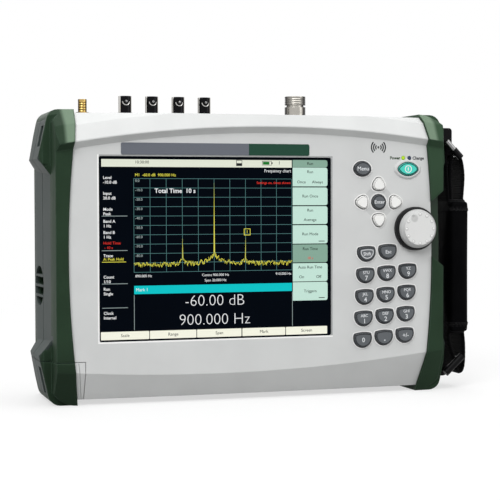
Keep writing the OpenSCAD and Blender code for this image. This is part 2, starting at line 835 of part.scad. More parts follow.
// Slot for a carrying strap in the upper left horn
slot_y0 = horn_front + strip_margin + 3;
slot_y1 = slot_y0 + 11;
slot_x = -side_hw + 4;
module strap_slot() {
  block([-far, slot_y0, mid_z + horn_tip + 9], [slot_x, slot_y1, mid_z + horn_end - 6]);
}

// Finger slot in the battery door
module door_slot() {
  block([-far, slot_y0, 8], [slot_x, slot_y1, door_z - 5]);
}

module strip_groove() block([-far, -groove_w / 2, 0], [-side_hw + side_draft, groove_w / 2, case_h]);

module left_bumper() color("darkolivegreen") {
  difference() {
    bumper_form(-1);
    door_space(0);
    fan_openings();
    strap_slot();
  }
}

module right_bumper() color("darkolivegreen") {
  difference() {
    bumper_form(1);
    knob_space();
  }
}

// Room for the knob at the edge of the right bumper, with sloping ends
module knob_space() {
  half = skirt_r + 2.2;
  edge = knob_x + skirt_r - 5;
  along_y(-far, strip_front + 3) translate([0, knob_z]) polygon([
    [edge, -half], [side_hw - side_draft, -half - 10], [far, -half - 10],
    [far, half + 10], [side_hw - side_draft, half + 10], [edge, half]]);
}

module left_strip() color("slategray") {
  difference() {
    strip_form(-1);
    door_space(0);
    fan_openings();
    strap_slot();
    strip_groove();
  }
}

module right_strip() color("slategray") {
  difference() {
    strip_form(1);
    knob_space();
    mirror([1, 0, 0]) strip_groove();
  }
}

// Battery door: the lower left corner of the case with its part of bumper and strip
module door_frame() color("gainsboro") {
  intersection() {
    cover_shell();
    door_space(door_gap);
  }
}

module door_bumper() color("darkolivegreen") {
  difference() {
    intersection() {
      bumper_form(-1);
      door_space(door_gap);
    }
    door_slot();
  }
}

module door_strip() color("slategray") {
  difference() {
    intersection() {
      strip_form(-1);
      door_space(door_gap);
    }
    door_slot();
    strip_groove();
  }
}

module display_window() color("black", 0.6) screen_prism(window_lap - panel_fit, panel_y + lip_t, inner_y);

// Display module: metal frame round the panel, with the connector block on its back
module display_module() color("dimgray") {
  screen_prism(window_lap + 1, inner_y, inner_y + display_t);
  block([screen_x - 30, inner_y + display_t - eps, screen_z - 8],
    [screen_x + 30, inner_y + display_t + 3, screen_z + 8]);
}

module keypad_board() color("darkgreen") {
  difference() {
    block([key_post_x0 - 2.4, board_y, key_z - 9], [knob_x + 6, board_y + board_t, lamp_z + 4]);
    rod_y(board_y - 1, board_y + board_t + 1, knob_x, knob_z, bush_r + panel_fit);
  }
}

module number_key(name) {
  k = [for (n = number_keys) if (n[0] == name) n][0];
  color("darkslategray") translate(number_at(k[1], k[2])) rotate([0, -key_turn, 0]) number_plunger();
}

module arrow_key(name) {
  k = [for (n = arrow_keys) if (n[0] == name) n][0];
  color("whitesmoke") translate(arrow_at(k[1])) arrow_plunger(k[1]);
}

module key_enter() color("darkslategray") translate([nav_x, 0, nav_z]) round_plunger(nav_r);
module key_menu() color("darkslategray") translate([menu_x, 0, oval_z]) oval_plunger(menu_w, menu_h);
module key_power() color("mediumturquoise") translate([power_x, 0, oval_z]) oval_plunger(power_w, power_h);

module status_lamps() color("yellowgreen") {
  for (i = [0, 1]) disc(lamp_x + i * lamp_step, lamp_z, lamp_r, panel_y - 0.5, board_y, 0.6);
}

// Knob: dark skirt, light cap with a finger dimple and marks, and the shaft
skirt_y = panel_y - knob_gap;
cap_back_y = skirt_y - skirt_h;
cap_front_y = cap_back_y - cap_h;
cap_bevel = 2.4;
mark_r = 0.9;
mark_ring = knob_r - cap_bevel - mark_r - 0.4;
dimple_depth = 0.7;
dimple_ball = (dimple_r * dimple_r + dimple_depth * dimple_depth) / (2 * dimple_depth);
dimple_angle = 120;
module knob_cap() color("gainsboro") {
  difference() {
    around_y(knob_x, knob_z) polygon([[0, cap_front_y], [knob_r - cap_bevel, cap_front_y],
      [knob_r - 0.5, cap_front_y + cap_bevel], [knob_r, cap_front_y + 2 * cap_bevel], [knob_r, cap_back_y],
      [0, cap_back_y]]);
    rod_y(cap_back_y - cap_h / 2, cap_back_y + 1, knob_x, knob_z, shaft_r);
    on_face(dimple_angle, mark_ring - dimple_r / 2 + mark_r)
      translate([0, dimple_depth - dimple_ball, 0]) sphere(dimple_ball);
    for (i = [1 : mark_count - 1])
      on_face(dimple_angle + i * 360 / mark_count, mark_ring) sphere(mark_r);
  }
}

// A place on the knob's face, at an angle and a radius
module on_face(angle, r) {
  translate([knob_x + r * cos(angle), cap_front_y - mark_r / 2, knob_z + r * sin(angle)]) children();
}

module knob_skirt() color("black") {
  difference() {
    around_y(knob_x, knob_z) polygon([[0, cap_back_y], [knob_r + 0.8, cap_back_y],
      [skirt_r, cap_back_y + 2], [skirt_r, skirt_y], [0, skirt_y]]);
    rod_y(cap_back_y - 1, skirt_y + 1, knob_x, knob_z, shaft_r);
  }
}

encoder_w = 15;
encoder_t = 7;
encoder_y = board_y + board_t;
module knob_shaft() color("silver")
  rod_y(cap_back_y - cap_h / 2, encoder_y + encoder_t - 2, knob_x, knob_z, shaft_r);

module encoder() color("gray") {
  difference() {
    union() {
      block([knob_x - encoder_w / 2, encoder_y, knob_z - encoder_w / 2],
        [knob_x + encoder_w / 2, encoder_y + encoder_t, knob_z + encoder_w / 2]);
      rod_y(panel_y, encoder_y + eps, knob_x, knob_z, bush_r);
    }
    rod_y(panel_y - 1, encoder_y + encoder_t - 1.5, knob_x, knob_z, shaft_r + shaft_fit);
  }
}

// Blocks on the main board: place, share of its height, width, thickness
board_chips = [[-80, 0.507, 30, 3], [-40, 0.507, 24, 3], [-80, 0.209, 20, 6], [-30, 0.209, 18, 4],
  [40, 0.179, 26, 5]];

// Main board with its processor, memory and power blocks
module main_board() color("darkgreen") {
  block([-board_x, main_y, board_z0], [board_x, main_y + board_t, board_z1]);
  for (c = board_chips) {
    z = board_z0 + c[1] * (board_z1 - board_z0);
    block([c[0] - c[2] / 2, main_y - c[3], z - c[2] / 2], [c[0] + c[2] / 2, main_y + eps, z + c[2] / 2]);
  }
}

// Shielded receiver module on the main board, with its ribbed lid
rf_x0 = 4;
rf_x1 = board_x - 12;
rf_share = 0.6418;
rf_z0 = board_z1 - rf_share * (board_z1 - board_z0);
rf_t = 18;
rf_ribs = 5;
module rf_module() color("silver") {
  block([rf_x0, main_y - rf_t, rf_z0], [rf_x1, main_y, board_z1]);
  block([rf_x0 - 1, main_y - rf_t - 2, rf_z0 - 1], [rf_x1 + 1, main_y - rf_t + eps, board_z1 + 1]);
  for (i = [0 : rf_ribs - 1]) {
    x = rf_x0 + (i + 0.5) * (rf_x1 - rf_x0) / rf_ribs;
    block([x - 3, main_y - rf_t - 3.5, rf_z0 + 6], [x + 3, main_y - rf_t - 2 + eps, board_z1 - 7]);
  }
}

// Cooling fan behind the left side's openings
fan_wall = panel_hw + tongue_len - 2.5 - pow(seam_z - fan_z + fan_w / 2, 2) / (2 * seam_r);
fan_x = 0.3 - fan_wall;
fan_bore = 18.4;
fan_hub_r = 8;
fan_strut_t = 2;
fan_pin_r = 1.5;
rotor_x0 = fan_x + 0.8;
rotor_x1 = fan_x + fan_t - fan_strut_t - 0.5;
module fan_frame() color("dimgray") {
  difference() {
    union() {
      difference() {
        block([fan_x, fan_y - fan_w / 2, fan_z - fan_w / 2],
          [fan_x + fan_t, fan_y + fan_w / 2, fan_z + fan_w / 2]);
        rod_x(fan_x - 1, fan_x + fan_t + 1, fan_y, fan_z, fan_bore);
      }
      rod_x(fan_x + fan_t - fan_strut_t, fan_x + fan_t, fan_y, fan_z, fan_hub_r);
      for (a = [45, 135]) translate([fan_x + fan_t - fan_strut_t / 2, fan_y, fan_z]) rotate([a, 0, 0])
        cube([fan_strut_t, 3, 2 * fan_bore + 2], center = true);
    }
    rod_x(rotor_x1, fan_x + fan_t + 1, fan_y, fan_z, fan_pin_r + shaft_fit);
  }
}

blade_count = 7;
module fan_rotor() color("black") {
  rod_x(rotor_x0, rotor_x1, fan_y, fan_z, fan_hub_r);
  rod_x(rotor_x1 - eps, fan_x + fan_t - 0.3, fan_y, fan_z, fan_pin_r);
  for (i = [0 : blade_count - 1])
    translate([(rotor_x0 + rotor_x1) / 2, fan_y, fan_z]) rotate([i * 360 / blade_count, 0, 0])
      translate([0, 0, (fan_hub_r + fan_bore - 1.5) / 2]) rotate([0, 0, 40])
        cube([1, 7, fan_bore - fan_hub_r - 0.5], center = true);
}

battery_x0 = door_x + 1.2;
battery_l = panel_hw + 11.3;
battery_d = case_d - battery_room;
battery_y1 = rear_in_y - back_r + wall;
module battery_pack() color("darkslategray") {
  along_x(battery_x0, battery_x0 + battery_l)
    corner_rect(battery_y1 - battery_d, floor_in_z, battery_y1, floor_in_z + battery_h, [3, 3, 3, 3]);
}

module battery_contacts() color("gold") {
  x = battery_x0 + battery_l;
  y = battery_y1 - battery_d / 2;
  block([x, y - 12, floor_in_z], [x + 5, y + 12, floor_in_z + battery_h - 4]);
}

speaker_r = 16;
module speaker() color("black") {
  rod_y(rear_in_y - 3, rear_in_y, board_x / 2, mid_z, speaker_r);
  rod_y(rear_in_y - 8, rear_in_y - 3 + eps, board_x / 2, mid_z, speaker_r - 7);
}

// Coaxial input connector with its thread, groove and inner contact
module n_connector() color("silver") {
  difference() {
    union() {
      rod_z(board_z1, top_in_z - 3 + eps, n_x, 0, 4);
      rod_z(top_in_z - 3, top_in_z, n_x, 0, n_r + 3);
      rod_z(top_in_z - eps, n_top, n_x, 0, n_r);
      rod_z(top_z, top_z + 2, n_x, 0, n_r + 1.4);
    }
    translate([n_x, 0, n_top - 8]) rotate_extrude()
      polygon([[n_r - 1.4, 0], [n_r + 1, 0], [n_r + 1, 1.4], [n_r - 1.4, 1.4]]);
    rod_z(n_top - 9, n_top + 1, n_x, 0, 4.2);
  }
  rod_z(n_top - 9 - eps, n_top - 2, n_x, 0, 1.5);
}

module sma_connector() color("goldenrod") {
  difference() {
    union() {
      rod_z(top_in_z - 6, sma_top, sma_x, 0, sma_r);
      translate([sma_x, 0, top_z]) cylinder(h = 2, r = sma_r + 1.6, $fn = 6);
      translate([sma_x, 0, top_in_z - 2]) cylinder(h = 2, r = sma_r + 1.6, $fn = 6);
    }
    rod_z(sma_top - 5, sma_top + 1, sma_x, 0, 2.1);
  }
  rod_z(sma_top - 5 - eps, sma_top - 1, sma_x, 0, 0.6);
}

// Four bayonet connectors with their locking studs
module bnc_connectors() color("black") {
  for (i = [0 : 3]) translate([bnc_x + i * bnc_step, 0, 0]) {
    difference() {
      union() {
        rod_z(top_in_z - 8, bnc_top, 0, 0, bnc_r);
        rod_z(top_z, top_z + 2, 0, 0, bnc_r + 1.6);
        rod_z(top_in_z - 2.5, top_in_z, 0, 0, bnc_r + 2);
        rod_y(-bnc_r - 1.1, bnc_r + 1.1, 0, bnc_top - 4, 1);
      }
      rod_z(bnc_top - 10, bnc_top + 1, 0, 0, 4);
    }
    rod_z(bnc_top - 10 - eps, bnc_top - 4, 0, 0, 0.7);
  }
}

// Network, host, power and headset sockets, flush with the connector panel
module io_sockets() color("dimgray") {
  for (b = box_sockets) translate([b[0], 0, 0]) difference() {
    union() {
      block([-b[1] / 2, -b[2] / 2, top_z - socket_depth - 2], [b[1] / 2, b[2] / 2, top_z]);
      block([-b[1] / 2 - socket_lip, -b[2] / 2 - socket_lip, top_in_z - 1.5],
        [b[1] / 2 + socket_lip, b[2] / 2 + socket_lip, top_in_z]);
    }
    block([-b[3] / 2, -b[4] / 2, top_z - socket_depth], [b[3] / 2, b[4] / 2, top_z + 1]);
  }
  for (j = round_sockets) difference() {
    union() {
      rod_z(top_z - socket_depth - 2, top_z, j[0], 0, j[1]);
      rod_z(top_in_z - 1.5, top_in_z, j[0], 0, j[1] + socket_lip);
    }
    rod_z(top_z - socket_depth, top_z + 1, j[0], 0, j[2]);
  }
}

// Folding stand on the back: two legs and a foot bar
bail_y0 = rear_y + bail_gap;
bail_bar = 14;
module tilt_bail() color("slategray") {
  difference() {
    union() {
      along_y(bail_y0, bail_y0 + bail_t) translate([0, bail_z]) difference() {
        corner_rect(-bail_hw - bail_w / 2, -bail_l, bail_hw + bail_w / 2, 0, [9, 9, 0, 0]);
        corner_rect(-bail_hw + bail_w / 2, -bail_l + bail_bar, bail_hw - bail_w / 2, 1, [5, 5, 0, 0]);
      }
      for (s = [-1, 1])
        rod_x(s * bail_hw - bail_w / 2, s * bail_hw + bail_w / 2, pin_y, bail_z, bail_end_r);
    }
    rod_x(-far, far, pin_y, bail_z, bail_pin_r + bail_fit);
  }
}

module bail_pins() color("silver") {
  reach = bail_w / 2 + bail_gap + ear_w;
  for (s = [-1, 1]) rod_x(s * bail_hw - reach, s * bail_hw + reach, pin_y, bail_z, bail_pin_r);
}

// Lugs on the right side that hold the strap's rings
module strap_lugs() color("black") {
  difference() {
    union() {
      lug(ring_top, -0.5, 12, 7.5);
      lug(buckle_low, -5, 7, 1);
    }
    end_form(1);
    for (e = [ring_top, buckle_low]) rod_y(-far, far, e[0], e[1], eye_r);
  }
}

// One lug round its eye, with a foot from z0 to z1 beside it
lug_corner = 2.5;
module lug(eye, z0, z1, out) {
  y0 = strap_y - lug_w / 2;
  y1 = strap_y + lug_w / 2;
  rod_y(y0, y1, eye[0], eye[1], eye_r + 2.6);
  block([side_hw - 2, y0, eye[1] + z0], [eye[0] + out, y1, eye[1] + z1 - lug_corner]);
  block([side_hw - 2, y0, eye[1] + z0], [eye[0] + out - lug_corner, y1, eye[1] + z1]);
  rod_y(y0, y1, eye[0] + out - lug_corner, eye[1] + z1 - lug_corner, lug_corner);
}

// Rod from p to q at the depth y, longer by its own radius at both ends
module rod_between(p, q, y, r) {
  translate([p[0], y, p[1]]) rotate([0, atan2(q[0] - p[0], q[1] - p[1]), 0])
    translate([0, 0, -r]) cylinder(h = norm(q - p) + 2 * r, r = r);
}

// Closed loop of wire: a bar through the lug's eye, two sides and a bar for the webbing
module wire_loop(p, q, side_r) {
  rod_y(strap_y - ring_hw, strap_y + ring_hw, p[0], p[1], wire_r);
  rod_y(strap_y - ring_hw, strap_y + ring_hw, q[0], q[1], wire_r);
  for (s = [-1, 1]) rod_between(p, q, strap_y + s * ring_hw, side_r);
}
module strap_ring() color("silver") wire_loop(ring_top, ring_low, wire_r + 0.6);
module strap_buckle() color("black") wire_loop(buckle_low, buckle_top, wire_r + 1.4);

// Webbing turned round a ring's bar, with both strands running to the padded grip
web_in = wire_r + web_gap;
web_out = web_in + web_t;
module web_turn(bar, dir, end_z, bulge) {
  mid = bar[1] + (end_z - bar[1]) / 2;
  along_y(strap_y - web_w / 2, strap_y + web_w / 2) {
    translate(bar) difference() {
      circle(web_out);
      circle(web_in);
      translate([-far, dir > 0 ? -far : 0]) square([2 * far, far]);
    }
    for (s = [-1, 1]) web_strand(bar, s, mid, end_z, bulge);
  }
}
module web_strand(bar, s, mid, end_z, bulge) {
  x0 = bar[0] + s * web_in;
  x1 = pad_mid_x + s * bulge;
  x2 = pad_mid_x + s * (pad_t / 2 - web_t - 2);
  polygon([[x0, bar[1]], [x1, mid], [x2, end_z], [x2 + s * web_t, end_z], [x1 + s * web_t, mid],
    [x0 + s * web_t, bar[1]]]);
}
module strap_webbing() color("black") {
  web_turn(ring_low, 1, pad_z1 + web_gap, pad_t / 2 - web_t - 1);
  web_turn(buckle_top, -1, pad_z0 - web_gap, pad_t / 2 - web_t - 3);
}

// Padded grip: crowned sections, drawn in at its ends with a sewn channel near each
pad_sides = 28;
pad_rings = 22;
function pad_swell(u) = let (e = abs(2 * u - 1))
  1 - 0.28 * pow(e, 8) - 0.05 * exp(-pow((e - 0.86) / 0.03, 2));
function pad_round(v, p) = sign(v) * pow(abs(v), p);
function pad_point(i, j) = let (u = i / (pad_rings - 1), a = 360 * j / pad_sides, k = pad_swell(u)) [
  pad_mid_x + k * pad_t / 2 * pad_round(cos(a), 0.7),
  strap_y + (0.5 + k / 2) * pad_w / 2 * pad_round(sin(a), 0.7),
  pad_z0 + u * (pad_z1 - pad_z0)];
module strap_pad() color("black") {
  last = pad_rings * pad_sides;
  points = concat([for (i = [0 : pad_rings - 1]) for (j = [0 : pad_sides - 1]) pad_point(i, j)],
    [[pad_mid_x, strap_y, pad_z0], [pad_mid_x, strap_y, pad_z1]]);
  walls = [for (i = [0 : pad_rings - 2]) for (j = [0 : pad_sides - 1]) for (h = [0, 1])
    let (a = i * pad_sides + j, b = i * pad_sides + (j + 1) % pad_sides)
      h == 0 ? [a, a + pad_sides, b] : [b, a + pad_sides, b + pad_sides]];
  caps = [for (j = [0 : pad_sides - 1]) for (h = [0, 1])
    let (k = (j + 1) % pad_sides, t = (pad_rings - 1) * pad_sides)
      h == 0 ? [last, j, k] : [last + 1, t + k, t + j]];
  polyhedron(points = points, faces = concat(walls, caps));
}

module case_screws() color("silver") {
  for (p = case_screw_points) {
    rod_y(-11, rear_y - screw_head_h + eps, p[0], p[1], screw_r);
    rod_y(rear_y - screw_head_h, rear_y, p[0], p[1], screw_head_r);
  }
}

front_cover();
rear_cover();
connector_panel();
socket_plate();
left_bumper();
right_bumper();
left_strip();
right_strip();
door_frame();
door_bumper();
door_strip();
display_window();
display_module();
keypad_board();
number_key("key_0");  // key_0
number_key("key_1");  // key_1
number_key("key_2");  // key_2
number_key("key_3");  // key_3
number_key("key_4");  // key_4
number_key("key_5");  // key_5
number_key("key_6");  // key_6
number_key("key_7");  // key_7
number_key("key_8");  // key_8
number_key("key_9");  // key_9
number_key("key_point");  // key_point
number_key("key_sign");  // key_sign
number_key("key_shift");  // key_shift
number_key("key_escape");  // key_escape
key_menu();
key_power();
key_enter();
arrow_key("key_up");  // key_up
arrow_key("key_down");  // key_down
arrow_key("key_left");  // key_left
arrow_key("key_right");  // key_right
status_lamps();
knob_cap();
knob_skirt();
knob_shaft();
encoder();
main_board();
rf_module();
fan_frame();
fan_rotor();
battery_pack();
battery_contacts();
speaker();
n_connector();
sma_connector();
bnc_connectors();
io_sockets();
stand_ears();
tilt_bail();
bail_pins();
strap_lugs();
strap_ring();
strap_buckle();
strap_webbing();
strap_pad();
case_screws();
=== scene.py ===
import math
import random

import bpy
from mathutils import Matrix, Vector


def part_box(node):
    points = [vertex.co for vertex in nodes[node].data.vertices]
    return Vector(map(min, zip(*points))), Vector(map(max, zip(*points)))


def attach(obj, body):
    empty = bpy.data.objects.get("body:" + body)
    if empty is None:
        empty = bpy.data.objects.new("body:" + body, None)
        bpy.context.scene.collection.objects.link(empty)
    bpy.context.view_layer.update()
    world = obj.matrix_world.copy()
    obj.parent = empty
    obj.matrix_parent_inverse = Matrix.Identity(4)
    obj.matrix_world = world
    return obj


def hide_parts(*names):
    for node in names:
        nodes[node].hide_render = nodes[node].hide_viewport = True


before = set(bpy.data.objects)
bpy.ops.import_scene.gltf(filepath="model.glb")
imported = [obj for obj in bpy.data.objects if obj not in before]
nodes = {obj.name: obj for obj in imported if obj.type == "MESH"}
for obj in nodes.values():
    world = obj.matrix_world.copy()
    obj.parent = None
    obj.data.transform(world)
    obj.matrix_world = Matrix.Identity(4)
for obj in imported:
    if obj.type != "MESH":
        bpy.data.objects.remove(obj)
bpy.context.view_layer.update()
mm = 0.001
print("frame loaded,", len(nodes), "solids")


# the camera stands where the photograph was taken
cameraSetup = {"place": (-0.3099, -1.0357, 0.14215), "yaw": 17.007, "pitch": 1.781, "roll": -0.149,
               "lens": 102.9, "sensor": 36, "near": 0.05}


def placeCamera(setup):
    yaw, pitch, roll = (math.radians(setup[key]) for key in ("yaw", "pitch", "roll"))
    ahead = Vector((math.sin(yaw) * math.cos(pitch), math.cos(yaw) * math.cos(pitch), -math.sin(pitch)))
    right = Vector((math.cos(yaw), -math.sin(yaw), 0))
    up = right.cross(ahead)
    turnedRight = right * math.cos(roll) + up * math.sin(roll)
    turnedUp = up * math.cos(roll) - right * math.sin(roll)
    turn = Matrix((turnedRight, turnedUp, -ahead)).transposed()
    bpy.ops.object.camera_add(location=setup["place"], rotation=turn.to_euler())
    camera = bpy.context.object
    camera.data.lens = setup["lens"]
    camera.data.sensor_width = setup["sensor"]
    camera.data.clip_start = setup["near"]
    bpy.context.scene.camera = camera


bpy.ops.object.select_all(action="DESELECT")
placeCamera(cameraSetup)
print("camera placed")


# ordinary arithmetic on a material's sockets
class Flow:
    def __init__(self, tree, socket=None):
        self.tree = tree
        self.socket = socket

    def add(self, kind, settings=None, sockets=None, out=0):
        node = self.tree.nodes.new(kind)
        for key, value in (settings or {}).items():
            setattr(node, key, value)
        for key, value in (sockets or {}).items():
            if isinstance(value, Flow):
                self.tree.links.new(value.socket, node.inputs[key])
            else:
                node.inputs[key].default_value = value
        return Flow(self.tree, node.outputs[out] if node.outputs else None)

    def math(self, operation, first, second=0.0):
        return self.add("ShaderNodeMath", {"operation": operation}, {0: first, 1: second})

    def __add__(self, other):
        return self.math("ADD", self, other)

    def __radd__(self, other):
        return self.math("ADD", other, self)

    def __sub__(self, other):
        return self.math("SUBTRACT", self, other)

    def __rsub__(self, other):
        return self.math("SUBTRACT", other, self)

    def __mul__(self, other):
        return self.math("MULTIPLY", self, other)

    def __rmul__(self, other):
        return self.math("MULTIPLY", other, self)

    def __pow__(self, other):
        return self.math("POWER", self, other)

    def __lt__(self, other):
        return self.math("LESS_THAN", self, other)

    def __gt__(self, other):
        return self.math("GREATER_THAN", self, other)

    def __abs__(self):
        return self.math("ABSOLUTE", self)

    def sine(self):
        return self.math("SINE", self)

    def larger(self, other):
        return self.math("MAXIMUM", self, other)

    def ease(self, low, high):
        return self.add("ShaderNodeMapRange", {"interpolation_type": "SMOOTHSTEP"},
                        {"Value": self, "From Min": low, "From Max": high, "To Min": 0.0, "To Max": 1.0})

    def blend(self, one, other):
        return self.add("ShaderNodeMix", {"data_type": "RGBA"}, {0: self, 6: one, 7: other}, out=2)

    # soft patches of a darker and a lighter shade of one colour
    def shades(self, colour, dark, light):
        return self.ease(0.3, 0.7).blend(tint(colour, dark), tint(colour, light))

    def axis(self, name):
        return self.add("ShaderNodeSeparateXYZ", None, {0: self}, out=name)

    def noise(self, scale, detail=3.0, rough=0.5):
        return self.add("ShaderNodeTexNoise", None,
                        {"Vector": self, "Scale": scale, "Detail": detail, "Roughness": rough})


def tint(colour, share):
    return tuple(min(1, part * share) for part in colour) + (1,)


def distance(across, up):
    return (across ** 2.0 + up ** 2.0) ** 0.5


def freshFlow(owner):
    owner.use_nodes = True
    owner.node_tree.nodes.clear()
    return Flow(owner.node_tree)


def makeFinish(name, paint):
    finish = bpy.data.materials.new(name)
    flow = freshFlow(finish)
    coords = flow.add("ShaderNodeTexCoord", out="Object")
    shader = flow.add("ShaderNodeBsdfPrincipled", None, paint(flow, coords))
    flow.add("ShaderNodeOutputMaterial", None, {"Surface": shader})
    return finish


# how sharply the surface turns within a width: nought on a flat, one on an edge
def edgeBend(flow, width):
    flat = flow.add("ShaderNodeNewGeometry", out="Normal")
    rounded = flow.add("ShaderNodeBevel", {"samples": 6}, {"Radius": width})
    along = flow.add("ShaderNodeVectorMath", {"operation": "DOT_PRODUCT"}, {0: flat, 1: rounded}, out="Value")
    return 1 - along


# a fine relief, with rounded edges under a rigid finish
def fineSurface(flow, height, depth, edge=0.0):
    sockets = {"Strength": 1.0, "Distance": depth, "Height": height}
    if edge:
        sockets["Normal"] = flow.add("ShaderNodeBevel", {"samples": 4}, {"Radius": edge})
    return flow.add("ShaderNodeBump", None, sockets)


# moulded plastic or rubber; the rim paints shade on the edges of a key
def moulded(colour, rough=0.45, grain=2600, depth=0.00002, edge=0.0, mottle=0.05, gloss=0.3, rim=None):
    def paint(flow, coords):
        cloud = coords.noise(38, 4)
        speck = coords.noise(grain, 2)
        plain = (cloud * 0.7 + speck * 0.3).shades(colour, 1 - mottle, 1 + mottle)
        if rim:
            # painted shade on the key's edges
            onRimShade = edgeBend(flow, rim["width"]).ease(0.0, rim["turn"]) * rim["share"]
            plain = onRimShade.blend(plain, rim["colour"])
        return {"Base Color": plain,
                "Roughness": rough + (cloud - 0.5) * 0.16 + (speck - 0.5) * 0.1,
                "Specular IOR Level": gloss,
                "Normal": fineSurface(flow, speck, depth, edge)}
    return paint


# brushed or plated metal; thread gives it turns with painted shade in their grooves, grazing paints the tone
# its sides would reflect, a painted reflection
def metal(colour, rough=0.25, streak=0.0, thread=None, edge=0.0, grazing=None):
    def paint(flow, coords):
        along = coords.axis("Z")
        stretch = {0: coords, 1: (220, 220, 4000)}
        lines = flow.add("ShaderNodeVectorMath", {"operation": "MULTIPLY"}, stretch).noise(1.0, 2)
        smear = coords.noise(60, 3)
        plain = smear.ease(0.35, 0.7).blend(tint(colour, 0.92), tint(colour, 1.04))
        height = lines * streak
        if thread:
            inside = (along > thread["low"]) * (along < thread["top"])
            turns = (along * (2 * math.pi / thread["pitch"])).sine() * inside
            height = height + turns
            # painted shade: the thread's grooves are darker
            plain = ((0 - turns).ease(0.1, 0.8) * 0.75).blend(plain, tint(colour, 0.16))
        if grazing:
            # painted reflection: the sides take the grazing colour
            slope = flow.add("ShaderNodeLayerWeight", None, {"Blend": 0.5}, out="Facing")
            plain = slope.ease(grazing["from"], grazing["to"]).blend(plain, grazing["colour"])
        depth = thread["depth"] if thread else 0.00001
        return {"Base Color": plain,
                "Metallic": 1.0,
                "Roughness": rough + (smear - 0.5) * 0.12 + (lines - 0.5) * 0.06,
                "Normal": fineSurface(flow, height, depth, edge)}
    return paint


# panel: satin grey, a dark seam beside the bumpers, a ring of painted shade round Enter, painted light and
# shade on the screen's edge
panelSetup = {"colour": (0.66, 0.67, 0.665), "front": -0.0395, "line": (0.02, 0.025, 0.022, 1),
              "halfWidth": 0.1387, "seamRadius": 0.75, "seamHeight": 0.108, "seamWidth": 0.00055,
              "lip": (0.006, 0.020, 0.008, 1), "lipFrom": 0.0009, "lipTo": 0.0013,
              "doorLine": 0.0030, "doorLineHalf": 0.00022, "doorTop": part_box("door_frame")[1][2],
              "dish": (0.0954, 0.1445), "dishInner": 0.0072, "dishOuter": 0.0118,
              "dishShade": (0.2, 0.2, 0.2, 1),
              "openLow": (-0.1167, 0.0456), "openTop": (0.0577, 0.1774), "edgeWidth": 0.0011,
              "edgeLit": (0.97, 0.97, 0.96, 1), "edgeShade": (0.40, 0.41, 0.41, 1)}


def panelPaint(flow, coords):
    setup = panelSetup
    across, up = coords.axis("X"), coords.axis("Z")
    cloud, speck = coords.noise(30, 4), coords.noise(2400, 2)
    arc = abs(across) + (setup["seamRadius"] - setup["halfWidth"])
    inward = distance(arc, up - setup["seamHeight"]) - setup["seamRadius"]
    seam = inward.ease(-setup["seamWidth"], -setup["seamWidth"] * 0.4) * (inward < 0.0001)
    lip = inward.ease(setup["lipFrom"], setup["lipTo"])
    onDoor = (across < 0.0) * (up < setup["doorTop"] - 0.0005)
    doorLine = (abs(inward + setup["doorLine"]) < setup["doorLineHalf"]) * onDoor * 0.6
    # painted shade: a faint darker ring round Enter, where a dish would be
    fromEnter = distance(across - setup["dish"][0], up - setup["dish"][1])
    dish = fromEnter.ease(setup["dishInner"], setup["dishInner"] + 0.001) * (fromEnter < setup["dishOuter"])
    facing = coords.axis("Y") < setup["front"]
    plain = cloud.shades(setup["colour"], 0.97, 1.02)
    dishShaded = (dish * facing * 0.18).blend(plain, setup["dishShade"])
    # the edge round the screen has a painted highlight at the left and below, and painted shade at the right
    # and above
    low, top, width = setup["openLow"], setup["openTop"], setup["edgeWidth"]
    litSide = (across < low[0]).larger(up < low[1])
    beside = (across > low[0] - width) * (across < top[0] + width)
    within = beside * (up > low[1] - width) * (up < top[1] + width)
    edged = (within * facing).blend(dishShaded, litSide.blend(setup["edgeShade"], setup["edgeLit"]))
    lined = (seam * 0.85).larger(doorLine).blend(edged, setup["line"])
    return {"Base Color": lip.blend(lined, setup["lip"]),
            "Roughness": 0.42 + (speck - 0.5) * 0.12 + (cloud - 0.5) * 0.1,
            "Specular IOR Level": 0.3,
            "Normal": fineSurface(flow, speck, 0.000012, 0.0007)}


# bumpers: soft dark green rubber, paler where hands and tables rub its edges, with painted light on the upper
# right, painted shade low on the left and a painted sheen on the brow facets
bumperSetup = {"colour": (0.0205, 0.0415, 0.0230), "worn": (0.055, 0.095, 0.065, 1), "edge": 0.0024,
               "rubbed": 0.0012, "litHeight": (0.12, 0.18), "shadeHeight": (0.02, 0.05),
               "sheen": (0.170, 0.245, 0.172, 1), "sheenFrom": 0.1425, "sheenTo": 0.1385}


def bumperPaint(flow, coords):
    setup = bumperSetup
    cloud, speck = coords.noise(45, 4), coords.noise(1900, 2)
    wear = edgeBend(flow, setup["rubbed"]).ease(0.006, 0.1) * (0.35 + cloud.ease(0.35, 0.6) * 0.65)
    plain = (cloud * 0.6 + speck * 0.4).shades(setup["colour"], 0.88, 1.12)
    across, up = coords.axis("X"), coords.axis("Z")
    # painted light: the upper part of the right bumper is lighter
    litRight = (up.ease(*setup["litHeight"]) * (across > 0.0)).blend(plain, tint(setup["colour"], 1.7))
    # painted shade: the lower part of the left bumpers is darker
    low = (1 - up.ease(*setup["shadeHeight"])) * (across < 0.0)
    shaded = low.blend(litRight, tint(setup["colour"], 0.66))
    # painted sheen: brow facets that face up and forward are paler toward the case's middle
    slope = flow.add("ShaderNodeTexCoord", out="Normal")
    brow = slope.axis("Z").ease(0.08, 0.3) * (0 - slope.axis("Y")).ease(0.2, 0.5)
    sheen = brow * abs(across).ease(setup["sheenFrom"], setup["sheenTo"]) * (0.8 + speck * 0.2)
    worn = (wear * 0.75).blend(shaded, setup["worn"])
    return {"Base Color": sheen.blend(worn, setup["sheen"]),
            "Roughness": 0.5 + (cloud - 0.5) * 0.2 + (speck - 0.5) * 0.12,
            "Specular IOR Level": 0.07,
            "Normal": fineSurface(flow, speck, 0.00003, setup["edge"])}


# side strips: slate rubber with a green front margin beside the left bumper
stripSetup = {"colour": (0.045, 0.058, 0.055), "margin": -0.0256, "above": 0.05}


